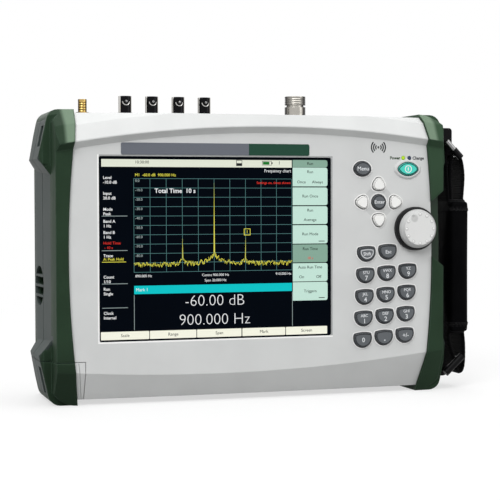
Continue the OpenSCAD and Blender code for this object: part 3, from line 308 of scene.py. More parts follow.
def stripPaint(flow, coords):
    slate = moulded(stripSetup["colour"], rough=0.5, grain=1500, depth=0.00004, edge=0.0012, mottle=0.09,
                    gloss=0.09)
    sockets = slate(flow, coords)
    inMargin = (coords.axis("Y") < stripSetup["margin"]) * (coords.axis("Z") > stripSetup["above"])
    sockets["Base Color"] = inMargin.blend(sockets["Base Color"], tint(bumperSetup["colour"], 0.9))
    return sockets


# knob: pale face, with painted shade on its bevel, in the finger dent and round the marks
knobSetup = {"colour": (0.76, 0.765, 0.755), "rim": (0.54, 0.545, 0.54, 1), "paintedShade": (0.24, 0.24, 0.235, 1),
             "middle": (0.1243, 0.12449), "face": 0.0121, "ring": 0.0109, "step": 30,
             "markShade": (0.0009, 0.0016), "dent": 120, "dentRing": 0.0089, "dentShade": (0.0020, 0.0034)}


def knobPaint(flow, coords):
    setup = knobSetup
    across, up = coords.axis("X") - setup["middle"][0], coords.axis("Z") - setup["middle"][1]
    reach = distance(across, up)
    turns = flow.math("ARCTAN2", up, across) * (180 / math.pi / setup["step"])
    aside = (turns - flow.math("ROUND", turns)) * math.radians(setup["step"]) * reach
    fromMark = distance(aside, reach - setup["ring"])
    dentTurn = math.radians(setup["dent"])
    dentAcross, dentUp = (setup["dentRing"] * part for part in (math.cos(dentTurn), math.sin(dentTurn)))
    fromDent = distance(across - dentAcross, up - dentUp)
    # painted shade in the finger dent and in a ring round each mark
    paintedShade = (1 - fromMark.ease(*setup["markShade"])).larger((1 - fromDent.ease(*setup["dentShade"])) * 0.75)
    speck, cloud = coords.noise(2400, 2), coords.noise(38, 4)
    plain = (speck * 0.6 + cloud * 0.4).shades(setup["colour"], 0.96, 1.03)
    shaded = (paintedShade * 0.5 * (reach < setup["face"])).blend(plain, setup["paintedShade"])
    # painted shade: the bevel outside the face is greyer
    return {"Base Color": reach.ease(setup["face"], setup["face"] + 0.0003).blend(shaded, setup["rim"]),
            "Roughness": 0.38 + (speck - 0.5) * 0.14,
            "Specular IOR Level": 0.3,
            "Normal": fineSurface(flow, speck, 0.00002, 0.0004)}


# two lamps in one moulding: lit green on the left, dark blue on the right
lampSetup = {"middle": 0.11785, "lit": (0.40, 0.62, 0.01, 1), "dark": (0.015, 0.035, 0.09, 1),
             "glow": (0.35, 0.7, 0.02, 1), "strength": 0.12}


def lampPaint(flow, coords):
    right = coords.axis("X") > lampSetup["middle"]
    swirl = coords.noise(700, 2)
    return {"Base Color": right.blend(lampSetup["lit"], lampSetup["dark"]),
            "Emission Color": right.blend(lampSetup["glow"], (0, 0, 0, 1)),
            "Emission Strength": lampSetup["strength"],
            "Roughness": 0.12 + swirl * 0.1,
            "Normal": fineSurface(flow, swirl, 0.00001)}


# circuit boards: solder mask with fine tracks and bright pads
boardSetup = {"mask": (0.02, 0.11, 0.05, 1), "track": (0.03, 0.19, 0.08, 1), "pad": (0.7, 0.62, 0.4, 1),
              "pitch": 2600}


def boardPaint(flow, coords):
    setup = boardSetup
    tracks = coords.noise(900, 1)
    across = (coords.axis("X") * setup["pitch"]).sine() * (coords.axis("Z") * setup["pitch"]).sine()
    pads = (across > 0.86) * (tracks > 0.5)
    masked = tracks.ease(0.42, 0.58).blend(setup["mask"], setup["track"])
    return {"Base Color": pads.blend(masked, setup["pad"]),
            "Metallic": pads * 0.8,
            "Roughness": 0.38 + tracks * 0.15,
            "Normal": fineSurface(flow, tracks + pads, 0.00003)}


# woven tape: ribs across the width, worked from the tape's own map
wovenSetup = {"dark": (0.0008, 0.0008, 0.001, 1), "pale": (0.009, 0.009, 0.010, 1), "weft": 3400,
              "warp": 2300, "depth": 0.00022}


def wovenPaint(flow, coords):
    setup = wovenSetup
    tape = flow.add("ShaderNodeUVMap", {"uv_map": "weave"})
    weft = (tape.axis("X") * setup["weft"]).sine()
    cross = weft * (tape.axis("Y") * setup["warp"]).sine()
    fuzz = coords.noise(3200, 3)
    return {"Base Color": (cross * 0.5 + fuzz).ease(0.1, 1.1).blend(setup["dark"], setup["pale"]),
            "Roughness": 0.72 + (fuzz - 0.5) * 0.3,
            "Specular IOR Level": 0.05,
            "Normal": fineSurface(flow, weft * 0.5 + cross * 0.5 + fuzz * 0.4, setup["depth"])}


# bayonet barrels: black nickel, with a painted reflection along the left side and a painted glint in a bow
# below each stud
barrelSetup = {"colour": (0.010, 0.010, 0.011), "bright": (0.74, 0.73, 0.70, 1),
               "grazing": {"from": 0.4, "to": 0.8, "colour": (0.36, 0.33, 0.29, 1)},
               "studX": -0.0891, "studStep": 0.020098, "studZ": 0.2188, "bow": 0.0026, "bowWidth": 0.00027,
               "bowFront": -0.003, "side": (0.78, 0.86), "sideEnd": (0.93, 0.965)}


def barrelPaint(flow, coords):
    setup = barrelSetup
    plated = metal(setup["colour"], rough=0.14, streak=0.2, edge=0.0003, grazing=setup["grazing"])
    sockets = plated(flow, coords)
    # painted glint: a bright bow below each stud
    beside = flow.math("PINGPONG", coords.axis("X") - setup["studX"], setup["studStep"] / 2)
    up = coords.axis("Z")
    onBow = abs(distance(beside, up - setup["studZ"]) - setup["bow"]) < setup["bowWidth"]
    bow = onBow * (up < setup["studZ"]) * (coords.axis("Y") < setup["bowFront"])
    # painted reflection: a bright strip down the left side
    turnedLeft = 0 - flow.add("ShaderNodeTexCoord", out="Normal").axis("X")
    side = turnedLeft.ease(*setup["side"]) * (1 - turnedLeft.ease(*setup["sideEnd"]))
    sockets["Base Color"] = (bow * 0.7).larger(side).blend(sockets["Base Color"], setup["bright"])
    return sockets


# grip cover: soft black vinyl with a fine leather grain and sewn ends
gripSetup = {"dark": (0.0008, 0.0008, 0.0011, 1), "pale": (0.0018, 0.0018, 0.0022, 1),
             "thread": (0.010, 0.010, 0.0105, 1), "low": 0.042, "top": 0.147, "seamIn": 0.0066,
             "stitch": 0.0031, "stitchHalf": 0.00045, "grain": 900.0, "depth": 0.00012}


def gripPaint(flow, coords):
    setup = gripSetup
    up, deep, across = coords.axis("Z"), coords.axis("Y"), coords.axis("X")
    middle = (setup["low"] + setup["top"]) / 2
    fromSeam = abs(abs(up - middle) - ((setup["top"] - setup["low"]) / 2 - setup["seamIn"]))
    around = (deep + across) * (2 * math.pi / setup["stitch"])
    dashes = (around.sine() > -0.35) * (fromSeam < setup["stitchHalf"])
    cells = flow.add("ShaderNodeTexVoronoi", {"feature": "DISTANCE_TO_EDGE"},
                     {"Vector": coords, "Scale": setup["grain"]})
    soft, crease = coords.noise(60, 4), coords.noise(2600, 2)
    height = cells.ease(0.0, 0.2) * 0.6 + crease * 0.3 + dashes * 2.5 + soft * 1.5
    plain = soft.ease(0.3, 0.7).blend(setup["dark"], setup["pale"])
    return {"Base Color": dashes.blend(plain, setup["thread"]),
            "Roughness": 0.48 + (soft - 0.5) * 0.25 + dashes * 0.2,
            "Specular IOR Level": 0.02,
            "Normal": fineSurface(flow, height, setup["depth"])}


# knitted bands: slanting stitches both ways
knitSetup = {"dark": (0.0008, 0.0008, 0.001, 1), "pale": (0.014, 0.014, 0.015, 1), "pitch": 2600,
             "depth": 0.0003}


def knitPaint(flow, coords):
    setup = knitSetup
    around, up = (coords.axis("X") + coords.axis("Y")) * setup["pitch"], coords.axis("Z") * setup["pitch"]
    stitch = ((around + up).sine() + (around - up).sine()) * 0.5
    fuzz = coords.noise(3000, 3)
    return {"Base Color": (stitch * 0.5 + fuzz).ease(0.1, 1.1).blend(setup["dark"], setup["pale"]),
            "Roughness": 0.7 + (fuzz - 0.5) * 0.3,
            "Specular IOR Level": 0.06,
            "Normal": fineSurface(flow, stitch + fuzz * 0.4, setup["depth"])}


# print and paint, or with a glow the lit picture of the screen
def inkPaint(colour, glow=0.0):
    def paint(flow, coords):
        speck = coords.noise(1800, 2)
        share = 0.3 if glow else 1.0
        sockets = {"Base Color": speck.shades(colour, 0.95 * share, share),
                   "Roughness": 0.5 + (speck - 0.5) * 0.2,
                   "Specular IOR Level": 0.05 if glow else 0.2}
        if glow:
            sockets["Emission Color"] = speck.shades(colour, 0.96, 1.0)
            sockets["Emission Strength"] = glow
        return sockets
    return paint


# every solid of the frame and the finish it wears
arrowKeys = ["key_up", "key_down", "key_left", "key_right"]
darkKeys = [name for name in nodes if name.startswith("key_") and name not in arrowKeys + ["key_power"]]
# painted shade on the edges of each kind of key
keyRimShades = {"dark": {"width": 0.0013, "turn": 0.006, "share": 0.9, "colour": (0.008, 0.009, 0.010, 1)},
           "pale": {"width": 0.0006, "turn": 0.012, "share": 0.85, "colour": (0.07, 0.07, 0.066, 1)},
           "teal": {"width": 0.001, "turn": 0.008, "share": 0.9, "colour": (0.004, 0.03, 0.028, 1)}}
nickelTurns = {"pitch": 0.0016, "low": 0.2184, "top": 0.2240, "depth": 0.0002}
nickelSides = {"from": 0.06, "to": 0.5, "colour": (0.03, 0.027, 0.024, 1)}
goldTurns = {"pitch": 0.0018, "low": 0.2110, "top": 0.2180, "depth": 0.00008}
goldSides = {"from": 0.06, "to": 0.5, "colour": (0.06, 0.032, 0.007, 1)}
solidFinishes = {
    "panel": (panelPaint, ["front_cover", "door_frame"]),
    "topPlate": (moulded((0.52, 0.53, 0.53), rough=0.5, edge=0.0004), ["connector_panel", "socket_plate"]),
    "backShell": (moulded((0.50, 0.51, 0.51), rough=0.5, edge=0.0006), ["rear_cover", "stand_ears"]),
    "bumper": (bumperPaint, ["left_bumper", "right_bumper", "door_bumper"]),
    "sideStrip": (stripPaint, ["left_strip", "right_strip", "door_strip"]),
    "screenGlass": (moulded((0.0008, 0.0022, 0.005), rough=0.16, grain=3000, depth=0.000004, mottle=0.1,
                            gloss=0.015), ["display_window"]),
    "displayFrame": (metal((0.42, 0.43, 0.44), rough=0.4, streak=0.4), ["display_module"]),
    "board": (boardPaint, ["keypad_board", "main_board"]),
    "darkKey": (moulded((0.118, 0.128, 0.138), rough=0.38, grain=2200, depth=0.000015, edge=0.0006,
                        mottle=0.08, gloss=0.25, rim=keyRimShades["dark"]), darkKeys),
    "paleKey": (moulded((0.92, 0.92, 0.90), rough=0.36, grain=2200, depth=0.00001, edge=0.0004, mottle=0.02,
                        rim=keyRimShades["pale"]), arrowKeys),
    "tealKey": (moulded((0.075, 0.70, 0.57), rough=0.28, grain=2200, depth=0.00001, edge=0.0006, mottle=0.06,
                        rim=keyRimShades["teal"]), ["key_power"]),
    "lamp": (lampPaint, ["status_lamps"]),
    "knobFace": (knobPaint, ["knob_cap"]),
    "knobSkirt": (moulded((0.008, 0.008, 0.009), rough=0.5, grain=1800, depth=0.00003, edge=0.0004,
                          mottle=0.1, gloss=0.15), ["knob_skirt"]),
    "steel": (metal((0.56, 0.56, 0.55), rough=0.32, streak=0.5),
              ["knob_shaft", "encoder", "bail_pins", "case_screws"]),
    "nickelThread": (metal((0.46, 0.44, 0.40), rough=0.16, streak=0.2, thread=nickelTurns, edge=0.0004,
                           grazing=nickelSides), ["n_connector"]),
    "brightWire": (metal((0.24, 0.24, 0.24), rough=0.2, streak=0.2), ["strap_ring"]),
    "shieldCan": (metal((0.66, 0.67, 0.68), rough=0.38, streak=0.5, edge=0.0004), ["rf_module"]),
    "fanPlastic": (moulded((0.014, 0.014, 0.015), rough=0.5, edge=0.0003, mottle=0.1),
                   ["fan_frame", "fan_rotor", "speaker"]),
    "batteryCase": (moulded((0.030, 0.033, 0.036), rough=0.55, edge=0.0006, mottle=0.1), ["battery_pack"]),
    "goldThread": (metal((0.54, 0.37, 0.12), rough=0.2, streak=0.2, thread=goldTurns, edge=0.0002,
                         grazing=goldSides), ["sma_connector", "battery_contacts"]),
    "blackNickel": (barrelPaint, ["bnc_connectors"]),
    "socketShell": (moulded((0.018, 0.018, 0.02), rough=0.4, edge=0.0003, mottle=0.1), ["io_sockets"]),
    "standSlate": (moulded((0.075, 0.090, 0.090), rough=0.5, grain=1500, depth=0.00004, edge=0.0006,
                           mottle=0.09), ["tilt_bail"]),
    "strapPlastic": (moulded((0.003, 0.003, 0.0035), rough=0.34, grain=1700, depth=0.00003, edge=0.0008,
                             mottle=0.12, gloss=0.08), ["strap_lugs", "strap_buckle"]),
    "webbing": (wovenPaint, ["strap_webbing"]),
    "grip": (gripPaint, ["strap_pad"]),
}
finishes = {"knit": makeFinish("knit", knitPaint)}
for finishName, (paint, wearers) in solidFinishes.items():
    finishes[finishName] = makeFinish(finishName, paint)
    for wearer in wearers:
        nodes[wearer].data.materials.clear()
        nodes[wearer].data.materials.append(finishes[finishName])
print("finishes on", sum(len(wearers) for _, wearers in solidFinishes.values()), "solids")


# small helpers for modelling as by hand
def pick(*pieces):
    bpy.ops.object.select_all(action="DESELECT")
    for piece in pieces:
        piece.select_set(True)
    bpy.context.view_layer.objects.active = pieces[0]


def openEdit(piece, mode="FACE"):
    pick(piece)
    bpy.ops.object.mode_set(mode="EDIT")
    bpy.ops.mesh.select_mode(type=mode)
    bpy.ops.mesh.select_all(action="SELECT")


def choose(piece, kind, test):
    bpy.ops.mesh.select_all(action="DESELECT")
    bpy.ops.object.mode_set(mode="OBJECT")
    for part in getattr(piece.data, kind):
        part.select = test(part)
    bpy.ops.object.mode_set(mode="EDIT")


def closeEdit():
    bpy.ops.object.mode_set(mode="OBJECT")


def modify(piece, kind, **settings):
    pick(piece)
    modifier = piece.modifiers.new(kind.lower(), kind)
    for key, value in settings.items():
        setattr(modifier, key, value)
    bpy.ops.object.modifier_apply(modifier=modifier.name)


def soften(piece, levels):
    modify(piece, "SUBSURF", levels=levels, render_levels=levels)


def smoothBelow(piece, angle):
    pick(piece)
    bpy.ops.object.shade_smooth_by_angle(angle=math.radians(angle))


# the place, turn and size of what was just added go into its mesh
def fixPlace():
    bpy.ops.object.transform_apply(location=True, rotation=True, scale=True)
    return bpy.context.object


# a ring of new edges all round, at a height
def cutLevel(piece, height):
    openEdit(piece)
    bpy.ops.mesh.bisect(plane_co=(0, 0, height * mm), plane_no=(0, 0, 1))
    closeEdit()


def turned(x, z, lean):
    turn = math.radians(lean)
    return x * math.cos(turn) - z * math.sin(turn), x * math.sin(turn) + z * math.cos(turn)


# a flat plate on a front face, its chosen corners rounded before it gets its thickness
def slab(left, low, right, top, face, depth=0.06, corner=0.0, roundTest=None):
    bpy.ops.mesh.primitive_plane_add(size=1, rotation=(math.radians(90), 0, 0),
                                     location=((left + right) / 2 * mm, face * mm, (low + top) / 2 * mm))
    bpy.context.object.scale = ((right - left) * mm, (top - low) * mm, 1)
    piece = fixPlace()
    if corner:
        openEdit(piece, "VERT")
        choose(piece, "vertices", roundTest or (lambda spot: True))
        bpy.ops.mesh.bevel(offset=corner * mm, segments=4, affect="VERTICES")
        closeEdit()
    openEdit(piece)
    bpy.ops.mesh.extrude_region_move(TRANSFORM_OT_translate={"value": (0, -depth * mm, 0)})
    closeEdit()
    return piece


# a block with its upright edges rounded
def roundedBlock(middle, size, corner, segments):
    bpy.ops.mesh.primitive_cube_add(size=1, location=[value * mm for value in middle])
    bpy.context.object.scale = [value * mm for value in size]
    piece = fixPlace()
    spots = piece.data.vertices

    def upright(edge):
        start, end = (spots[i].co.z for i in edge.vertices)
        return abs(start - end) > 0.001

    openEdit(piece, "EDGE")
    choose(piece, "edges", upright)
    bpy.ops.mesh.bevel(offset=corner * mm, segments=segments, affect="EDGES")
    closeEdit()
    return piece


# raised letters that stand a little proud of a front face; capitalShare is a capital's part of the type size
capitalShare = 0.73


def lettering(words, x, z, face, height, depth=0.05, align="CENTER", lean=0.0, slim=0.0):
    bpy.ops.object.text_add(location=(x * mm, face * mm, z * mm),
                            rotation=(math.radians(90), -math.radians(lean), 0))
    piece = bpy.context.object
    piece.data.body = words
    piece.data.size = height * mm / capitalShare
    piece.data.align_x = align
    piece.data.align_y = "CENTER"
    piece.data.extrude = depth * mm
    piece.data.offset = -slim * height * mm
    piece.data.resolution_u = 3
    bpy.ops.object.convert(target="MESH")
    return fixPlace()


# a chain of edges drawn point by point from one corner of a plane
def edgeChain(points):
    bpy.ops.mesh.primitive_plane_add(size=0.0001, location=points[0])
    piece = fixPlace()
    openEdit(piece, "VERT")
    bpy.ops.mesh.merge(type="CENTER")
    for start, end in zip(points, points[1:]):
        step = [b - a for a, b in zip(start, end)]
        bpy.ops.mesh.extrude_vertices_move(TRANSFORM_OT_translate={"value": step})
    closeEdit()
    return piece


# a line of round section through points across and up, at one depth
def roundLine(spots, face, thickness, resolution=1):
    piece = edgeChain([(x * mm, face * mm, z * mm) for x, z in spots])
    bpy.ops.object.convert(target="CURVE")
    piece.data.bevel_depth = thickness / 2 * mm
    piece.data.bevel_resolution = resolution
    piece.data.use_fill_caps = True
    bpy.ops.object.convert(target="MESH")
    return piece


# a drawn line, pressed flat on a front face
def drawnLine(spots, face, thickness, flat=0.25):
    piece = roundLine(spots, face, thickness)
    openEdit(piece)
    bpy.ops.transform.resize(value=(1, flat, 1), center_override=(0, face * mm, 0))
    closeEdit()
    return piece


def arcSpots(x, z, radius, fromAngle, toAngle, steps):
    turn = [math.radians(fromAngle + (toAngle - fromAngle) * i / steps) for i in range(steps + 1)]
    return [(x + radius * math.cos(angle), z + radius * math.sin(angle)) for angle in turn]


# joins drawn pieces into one, closes it and gives it its finish and body
def settle(name, parts, finish, body):
    pick(*parts)
    if len(parts) > 1:
        bpy.ops.object.join()
    piece = bpy.context.view_layer.objects.active
    openEdit(piece)
    bpy.ops.mesh.remove_doubles(threshold=0.0000005)
    bpy.ops.mesh.normals_make_consistent(inside=False)
    closeEdit()
    piece.name = name
    piece.data.name = name
    piece.data.materials.clear()
    piece.data.materials.append(finishes[finish])
    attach(piece, body)
    return piece


# inks and lit colours, each with its glow
inkColours = {
    "inkPale": ((0.80, 0.82, 0.84), 0.0), "inkWhite": ((0.90, 0.90, 0.89), 0.0),
    "inkDark": ((0.02, 0.022, 0.025), 0.0), "inkGreen": ((0.02, 0.05, 0.015), 0.0),
    "inkTeal": ((0.004, 0.05, 0.045), 0.0), "plateBlue": ((0.145, 0.157, 0.185), 0.0),
    "plateGreen": ((0.010, 0.055, 0.032), 0.0), "glowWhite": ((0.66, 0.67, 0.68), 1.0),
    "glowMint": ((0.44, 0.615, 0.54), 1.0), "glowDeepMint": ((0.192, 0.314, 0.249), 1.0),
    "glowCream": ((0.60, 0.63, 0.53), 1.0), "glowIvory": ((0.73, 0.73, 0.62), 1.0),
    "glowTeal": ((0.003, 0.43, 0.45), 1.0), "glowGrid": ((0.070, 0.175, 0.175), 1.0),
    "glowYellow": ((0.66, 0.62, 0.07), 1.0), "glowRed": ((0.62, 0.03, 0.02), 1.0),
    "glowLeaf": ((0.01, 0.14, 0.02), 1.0), "glowGrey": ((0.27, 0.33, 0.33), 1.0),
    "glowBlack": ((0.03, 0.04, 0.04), 0.1),
}
for inkName, (colour, glow) in inkColours.items():
    finishes[inkName] = makeFinish(inkName, inkPaint(colour, glow))


# the screen's picture: bars, grid and a trace with three peaks; places are shares of its width and height
screenSetup = {"left": -116.7, "low": 45.6, "width": 174.4, "height": 131.8, "glass": -39.0,
               "thick": 0.05, "layerThick": 0.03, "layerLift": 0.05, "traceLift": 0.09, "markerThick": 0.6,
               "grid": (0.145, 0.825, 0.12, 0.627), "gridHalf": (0.0008, 0.0011), "gridCells": 10,
               "keyLeft": 0.829, "keyRight": 0.985, "keyCorner": 1.6, "roundFrom": 0.9,
               "keyRows": [(0.056, 0.161), (0.167, 0.266), (0.272, 0.372), (0.378, 0.481), (0.591, 0.693),
                           (0.697, 0.80)],
               "darkRows": [(0.014, 0.054), (0.486, 0.586)], "keyMarks": (0.466, 0.784),
               "keyMark": (0.945, 0.972, 0.004),
               "buttons": [(0.006, 0.207), (0.21, 0.407), (0.41, 0.602), (0.606, 0.795), (0.798, 0.983)],
               "buttonRow": (0.946, 0.99), "buttonCorner": 0.5, "topBar": (0.0115, 0.016, 0.825, 0.057),
               "bandRow": (0.70, 0.745), "uprights": (0.145, 0.827), "uprightRow": (0.75, 0.94),
               "uprightHalf": 0.0009, "dividers": (0.322, 0.508, 0.687, 0.817), "dividerSpan": (0.012, 0.118),
               "dividerHalf": 0.0014, "marker": (0.615, 0.430, 0.641, 0.396),
               "underline": (0.012, 0.568, 0.112, 0.571)}
traceSetup = {"seed": 7, "steps": 430, "level": 0.588, "shake": (-0.016, 0.013), "thick": 0.48,
              "peaks": {3: 0.443, 5: 0.143, 7: 0.443},
              "skirts": [(5, 0.058, 2.2), (3, 0.022, 5), (7, 0.022, 5)]}

# generic words on the screen: text, place across and down, height, then alignment, layer and slimness
wordSetup = {
    "sideLeft": 0.018, "sideDrop": 0.006, "sideHeight": 2.15, "sideSlim": -0.02,
    "scaleLeft": 0.151, "scaleDrop": 0.012, "scaleHeight": 1.9, "scaleStep": -10,
    "keyHeight": 2.2, "buttonLine": 0.968, "buttonHeight": 2.3,
    "sideRows": [("Level", 0.11), ("-10.0 dB", 0.135), ("Input", 0.195), ("20.0 dB", 0.22), ("Mode", 0.28),
                 ("Peak", 0.305), ("Band A", 0.345), ("1 Hz", 0.37), ("Band B", 0.405), ("1 Hz", 0.43),
                 ("Trace", 0.53), ("Count", 0.645), ("1/10", 0.67), ("Run", 0.71), ("Single", 0.735),
                 ("Clock", 0.84), ("Internal", 0.865)],
    "white": [("Total Time  10 s", 0.232, 0.187, 3.3, "LEFT", 1, -0.02),
              ("890.000 Hz", 0.15, 0.648, 1.9, "LEFT"), ("910.000 Hz", 0.822, 0.648, 1.9, "RIGHT"),
              ("Centre 900.000 Hz", 0.49, 0.648, 1.9), ("Span 20.000 Hz", 0.49, 0.677, 1.9),
              ("Frequency chart", 0.822, 0.076, 2.3, "RIGHT"),
              ("-60.00 dB", 0.487, 0.790, 8.5, "CENTER", 1, 0.028),
              ("900.000 Hz", 0.487, 0.894, 8.5, "CENTER", 1, 0.028)],
    "yellow": [("1", 0.628, 0.413, 2.2), ("A: Peak Hold", 0.018, 0.555, 2.0, "LEFT"),
               ("M1  -60.0 dB  900.000 Hz", 0.15, 0.101, 2.1, "LEFT")],
    "red": [("Hold Time", 0.018, 0.468, 2.1, "LEFT"), ("- 10 s", 0.022, 0.493, 2.0, "LEFT"),
            ("Settings on, times shown", 0.82, 0.142, 1.9, "RIGHT"),
            ("10 s", 0.907, 0.563, 2.0, "CENTER", 2)],
    "softKeys": [("Run", 0.907, 0.034), ("Run", 0.907, 0.080), ("Once", 0.868, 0.137),
                 ("Always", 0.94, 0.137), ("Run Once", 0.907, 0.216), ("Run", 0.907, 0.295),
                 ("Average", 0.907, 0.348), ("Run Mode", 0.907, 0.428), ("Run Time", 0.907, 0.511),
                 ("Auto Run Time", 0.907, 0.614), ("On", 0.868, 0.668), ("Off", 0.945, 0.668),
                 ("Triggers", 0.907, 0.748)],
    "buttons": ["Scale", "Range", "Span", "Mark", "Screen"],
    "topBar": [("10:30:00", 0.15, 0.032, 2.2, "LEFT", 2), ("1", 0.765, 0.032, 2.4, "LEFT", 2)],
    "band": [("Mark 1", 0.152, 0.7225, 2.3, "LEFT", 2)],
}


def screenX(u):
    return screenSetup["left"] + screenSetup["width"] * u


def screenZ(v):
    return screenSetup["low"] + screenSetup["height"] * (1 - v)


def screenSlab(u0, v0, u1, v1, layer=0, corner=0.0, roundTest=None):
    thick = screenSetup["thick"] + screenSetup["layerThick"] * layer
    left, low, right, top = screenX(u0), screenZ(v1), screenX(u1), screenZ(v0)
    return slab(left, low, right, top, screenSetup["glass"], thick, corner, roundTest)


def screenFrame(u0, v0, u1, v1, lift, thickness):
    corners = ((u0, v0), (u1, v0), (u1, v1), (u0, v1), (u0, v0))
    return drawnLine([(screenX(u), screenZ(v)) for u, v in corners], screenSetup["glass"] - lift, thickness)


def screenWords(words, u, v, height, align="CENTER", layer=1, slim=0.0):
    face = screenSetup["glass"] - screenSetup["layerLift"] * layer
    return lettering(words, screenX(u), screenZ(v), face, height, screenSetup["thick"], align, slim=slim)


def settleScreen(name, parts, finish):
    settle(name, parts, finish, "case")


def tracePath(setup):
    u0, u1 = screenSetup["grid"][:2]
    cells, steps = screenSetup["gridCells"], setup["steps"]
    shake = random.Random(setup["seed"])
    peaks = {place * steps // cells: top for place, top in setup["peaks"].items()}
    spots = []
    for i in range(steps + 1):
        column = cells * i / steps
        skirt = sum(rise * math.exp(-abs(column - place) * fall) for place, rise, fall in setup["skirts"])
        level = setup["level"] - skirt + shake.uniform(*setup["shake"])
        spots.append((screenX(u0 + (u1 - u0) * i / steps), screenZ(peaks.get(i, level))))
    return spots


def buildGrid(setup):
    u0, u1, v0, v1 = setup["grid"]
    halfWide, halfHigh = setup["gridHalf"]
    cells = setup["gridCells"]
    columns = [u0 + (u1 - u0) * i / cells for i in range(cells + 1)]
    rows = [v0 + (v1 - v0) * i / cells for i in range(cells + 1)]
    chart = [screenSlab(u - halfWide, v0, u + halfWide, v1) for u in columns]
    chart += [screenSlab(u0, v - halfHigh, u1, v + halfHigh) for v in rows]
    settleScreen("screenGrid", chart, "glowGrid")


def buildBars(setup):
    def rightHalf(spot):
        return spot.co.x > screenX(setup["roundFrom"]) * mm

    def softKeys(rows):
        return [screenSlab(setup["keyLeft"], top, setup["keyRight"], low, 0, setup["keyCorner"], rightHalf)
                for top, low in rows]

    settleScreen("screenSoftKeys", softKeys(setup["keyRows"]), "glowMint")
    settleScreen("screenDarkKeys", softKeys(setup["darkRows"]), "glowDeepMint")
    settleScreen("screenTopBar", [screenSlab(*setup["topBar"])], "glowCream")
    top, low = setup["buttonRow"]
    buttons = [screenSlab(left, top, right, low, 0, setup["buttonCorner"])
               for left, right in setup["buttons"]]
    settleScreen("screenButtons", buttons, "glowIvory")
    top, low = setup["bandRow"]
    settleScreen("screenBand", [screenSlab(setup["grid"][0], top, setup["grid"][1], low)], "glowTeal")
    (top, low), half = setup["uprightRow"], setup["uprightHalf"]
    side = [screenSlab(u - half, top, u + half, low) for u in setup["uprights"]]
    (left, right), half = setup["dividerSpan"], setup["dividerHalf"]
    side += [screenSlab(left, v - half, right, v + half) for v in setup["dividers"]]
    settleScreen("screenSideLines", side, "glowGrey")


def buildTrace(setup):
    trace = drawnLine(tracePath(traceSetup), setup["glass"] - setup["traceLift"], traceSetup["thick"])
    marker = screenFrame(*setup["marker"], setup["traceLift"], setup["markerThick"])
    yellow = [trace, marker, screenSlab(*setup["underline"])]
    yellow += [screenWords(*row) for row in wordSetup["yellow"]]
    settleScreen("screenTrace", yellow, "glowYellow")


def buildScreenWords(setup, words):
    def written(rows):
        return [screenWords(*row) for row in rows]

    settleScreen("screenRedWords", written(words["red"]), "glowRed")
    white = [screenWords(text, words["sideLeft"], v + words["sideDrop"], words["sideHeight"], "LEFT",
                         slim=words["sideSlim"]) for text, v in words["sideRows"]]
    settleScreen("screenWhiteWords", white + written(words["white"]), "glowWhite")
    (v0, v1), cells = setup["grid"][2:], setup["gridCells"]
    scale = []
    for i in range(cells - 1):
        v = v0 + words["scaleDrop"] + (v1 - v0) * i / cells
        text = "%d.0" % (words["scaleStep"] * i)
        scale.append(screenWords(text, words["scaleLeft"], v, words["scaleHeight"], "LEFT"))
    settleScreen("screenScale", scale, "glowGrey")
    dark = [screenWords(text, u, v, words["keyHeight"], layer=2) for text, u, v in words["softKeys"]]
    left, right, high = setup["keyMark"]
    dark += [screenSlab(left, v, right, v + high, 1) for v in setup["keyMarks"]]
    dark += [screenWords(text, (a + b) / 2, words["buttonLine"], words["buttonHeight"], layer=2)
             for text, (a, b) in zip(words["buttons"], setup["buttons"])]
    settleScreen("screenDarkWords", dark + written(words["topBar"]), "glowBlack")
    settleScreen("screenBandWord", written(words["band"]), "glowWhite")


# battery gauge and a storage sign in the top bar: left, top, right and low end of each part
gaugeSetup = {"shell": (0.695, 0.022, 0.735, 0.044), "shellThick": 0.4, "tab": (0.736, 0.028, 0.740, 0.038),
              "fill": (0.698, 0.025, 0.726, 0.041), "disc": (0.582, 0.018, 0.606, 0.048), "discThick": 0.5,
              "discFill": (0.582, 0.034, 0.606, 0.048), "lift": 0.06}


def buildGauge(setup):
    dark = [screenFrame(*setup["shell"], setup["lift"], setup["shellThick"]), screenSlab(*setup["tab"], 1),
            screenFrame(*setup["disc"], setup["lift"], setup["discThick"]), screenSlab(*setup["discFill"], 1)]
    settleScreen("screenGaugeShell", dark, "glowBlack")
    settleScreen("screenGaugeFill", [screenSlab(*setup["fill"], 1)], "glowLeaf")


buildGrid(screenSetup)
buildBars(screenSetup)
buildTrace(screenSetup)
buildScreenWords(screenSetup, wordSetup)
buildGauge(gaugeSetup)
print("screen picture drawn")


# bare name plate under the brow: grey-blue, with a green end
plateSetup = {"left": -100.7, "right": 40.5, "low": 178.6, "top": 187.1, "change": -6.0, "face": -40.0,
              "thick": 0.5, "leftCorner": 1.0, "rightCorner": 1.3, "edge": 0.2}


def buildPlate(setup):
    def leftEnd(spot):
        return spot.co.x < (setup["left"] + 1) * mm

    def rightEnd(spot):
        return spot.co.x > (setup["right"] - 1) * mm

    blue = slab(setup["left"], setup["low"], setup["change"], setup["top"], setup["face"], setup["thick"],
                setup["leftCorner"], leftEnd)
    green = slab(setup["change"], setup["low"], setup["right"], setup["top"], setup["face"], setup["thick"],
                 setup["rightCorner"], rightEnd)
    frontLimit = (setup["face"] - setup["thick"] * 0.5) * mm
    for piece in (blue, green):
        spots = piece.data.vertices
        openEdit(piece, "EDGE")
        choose(piece, "edges", lambda edge: all(spots[i].co.y < frontLimit for i in edge.vertices))
        bpy.ops.mesh.bevel(offset=setup["edge"] * mm, segments=2, affect="EDGES")
        closeEdit()
    settle("namePlateBlue", [blue], "plateBlue", "case")
    settle("namePlateGreen", [green], "plateGreen", "case")


buildPlate(plateSetup)


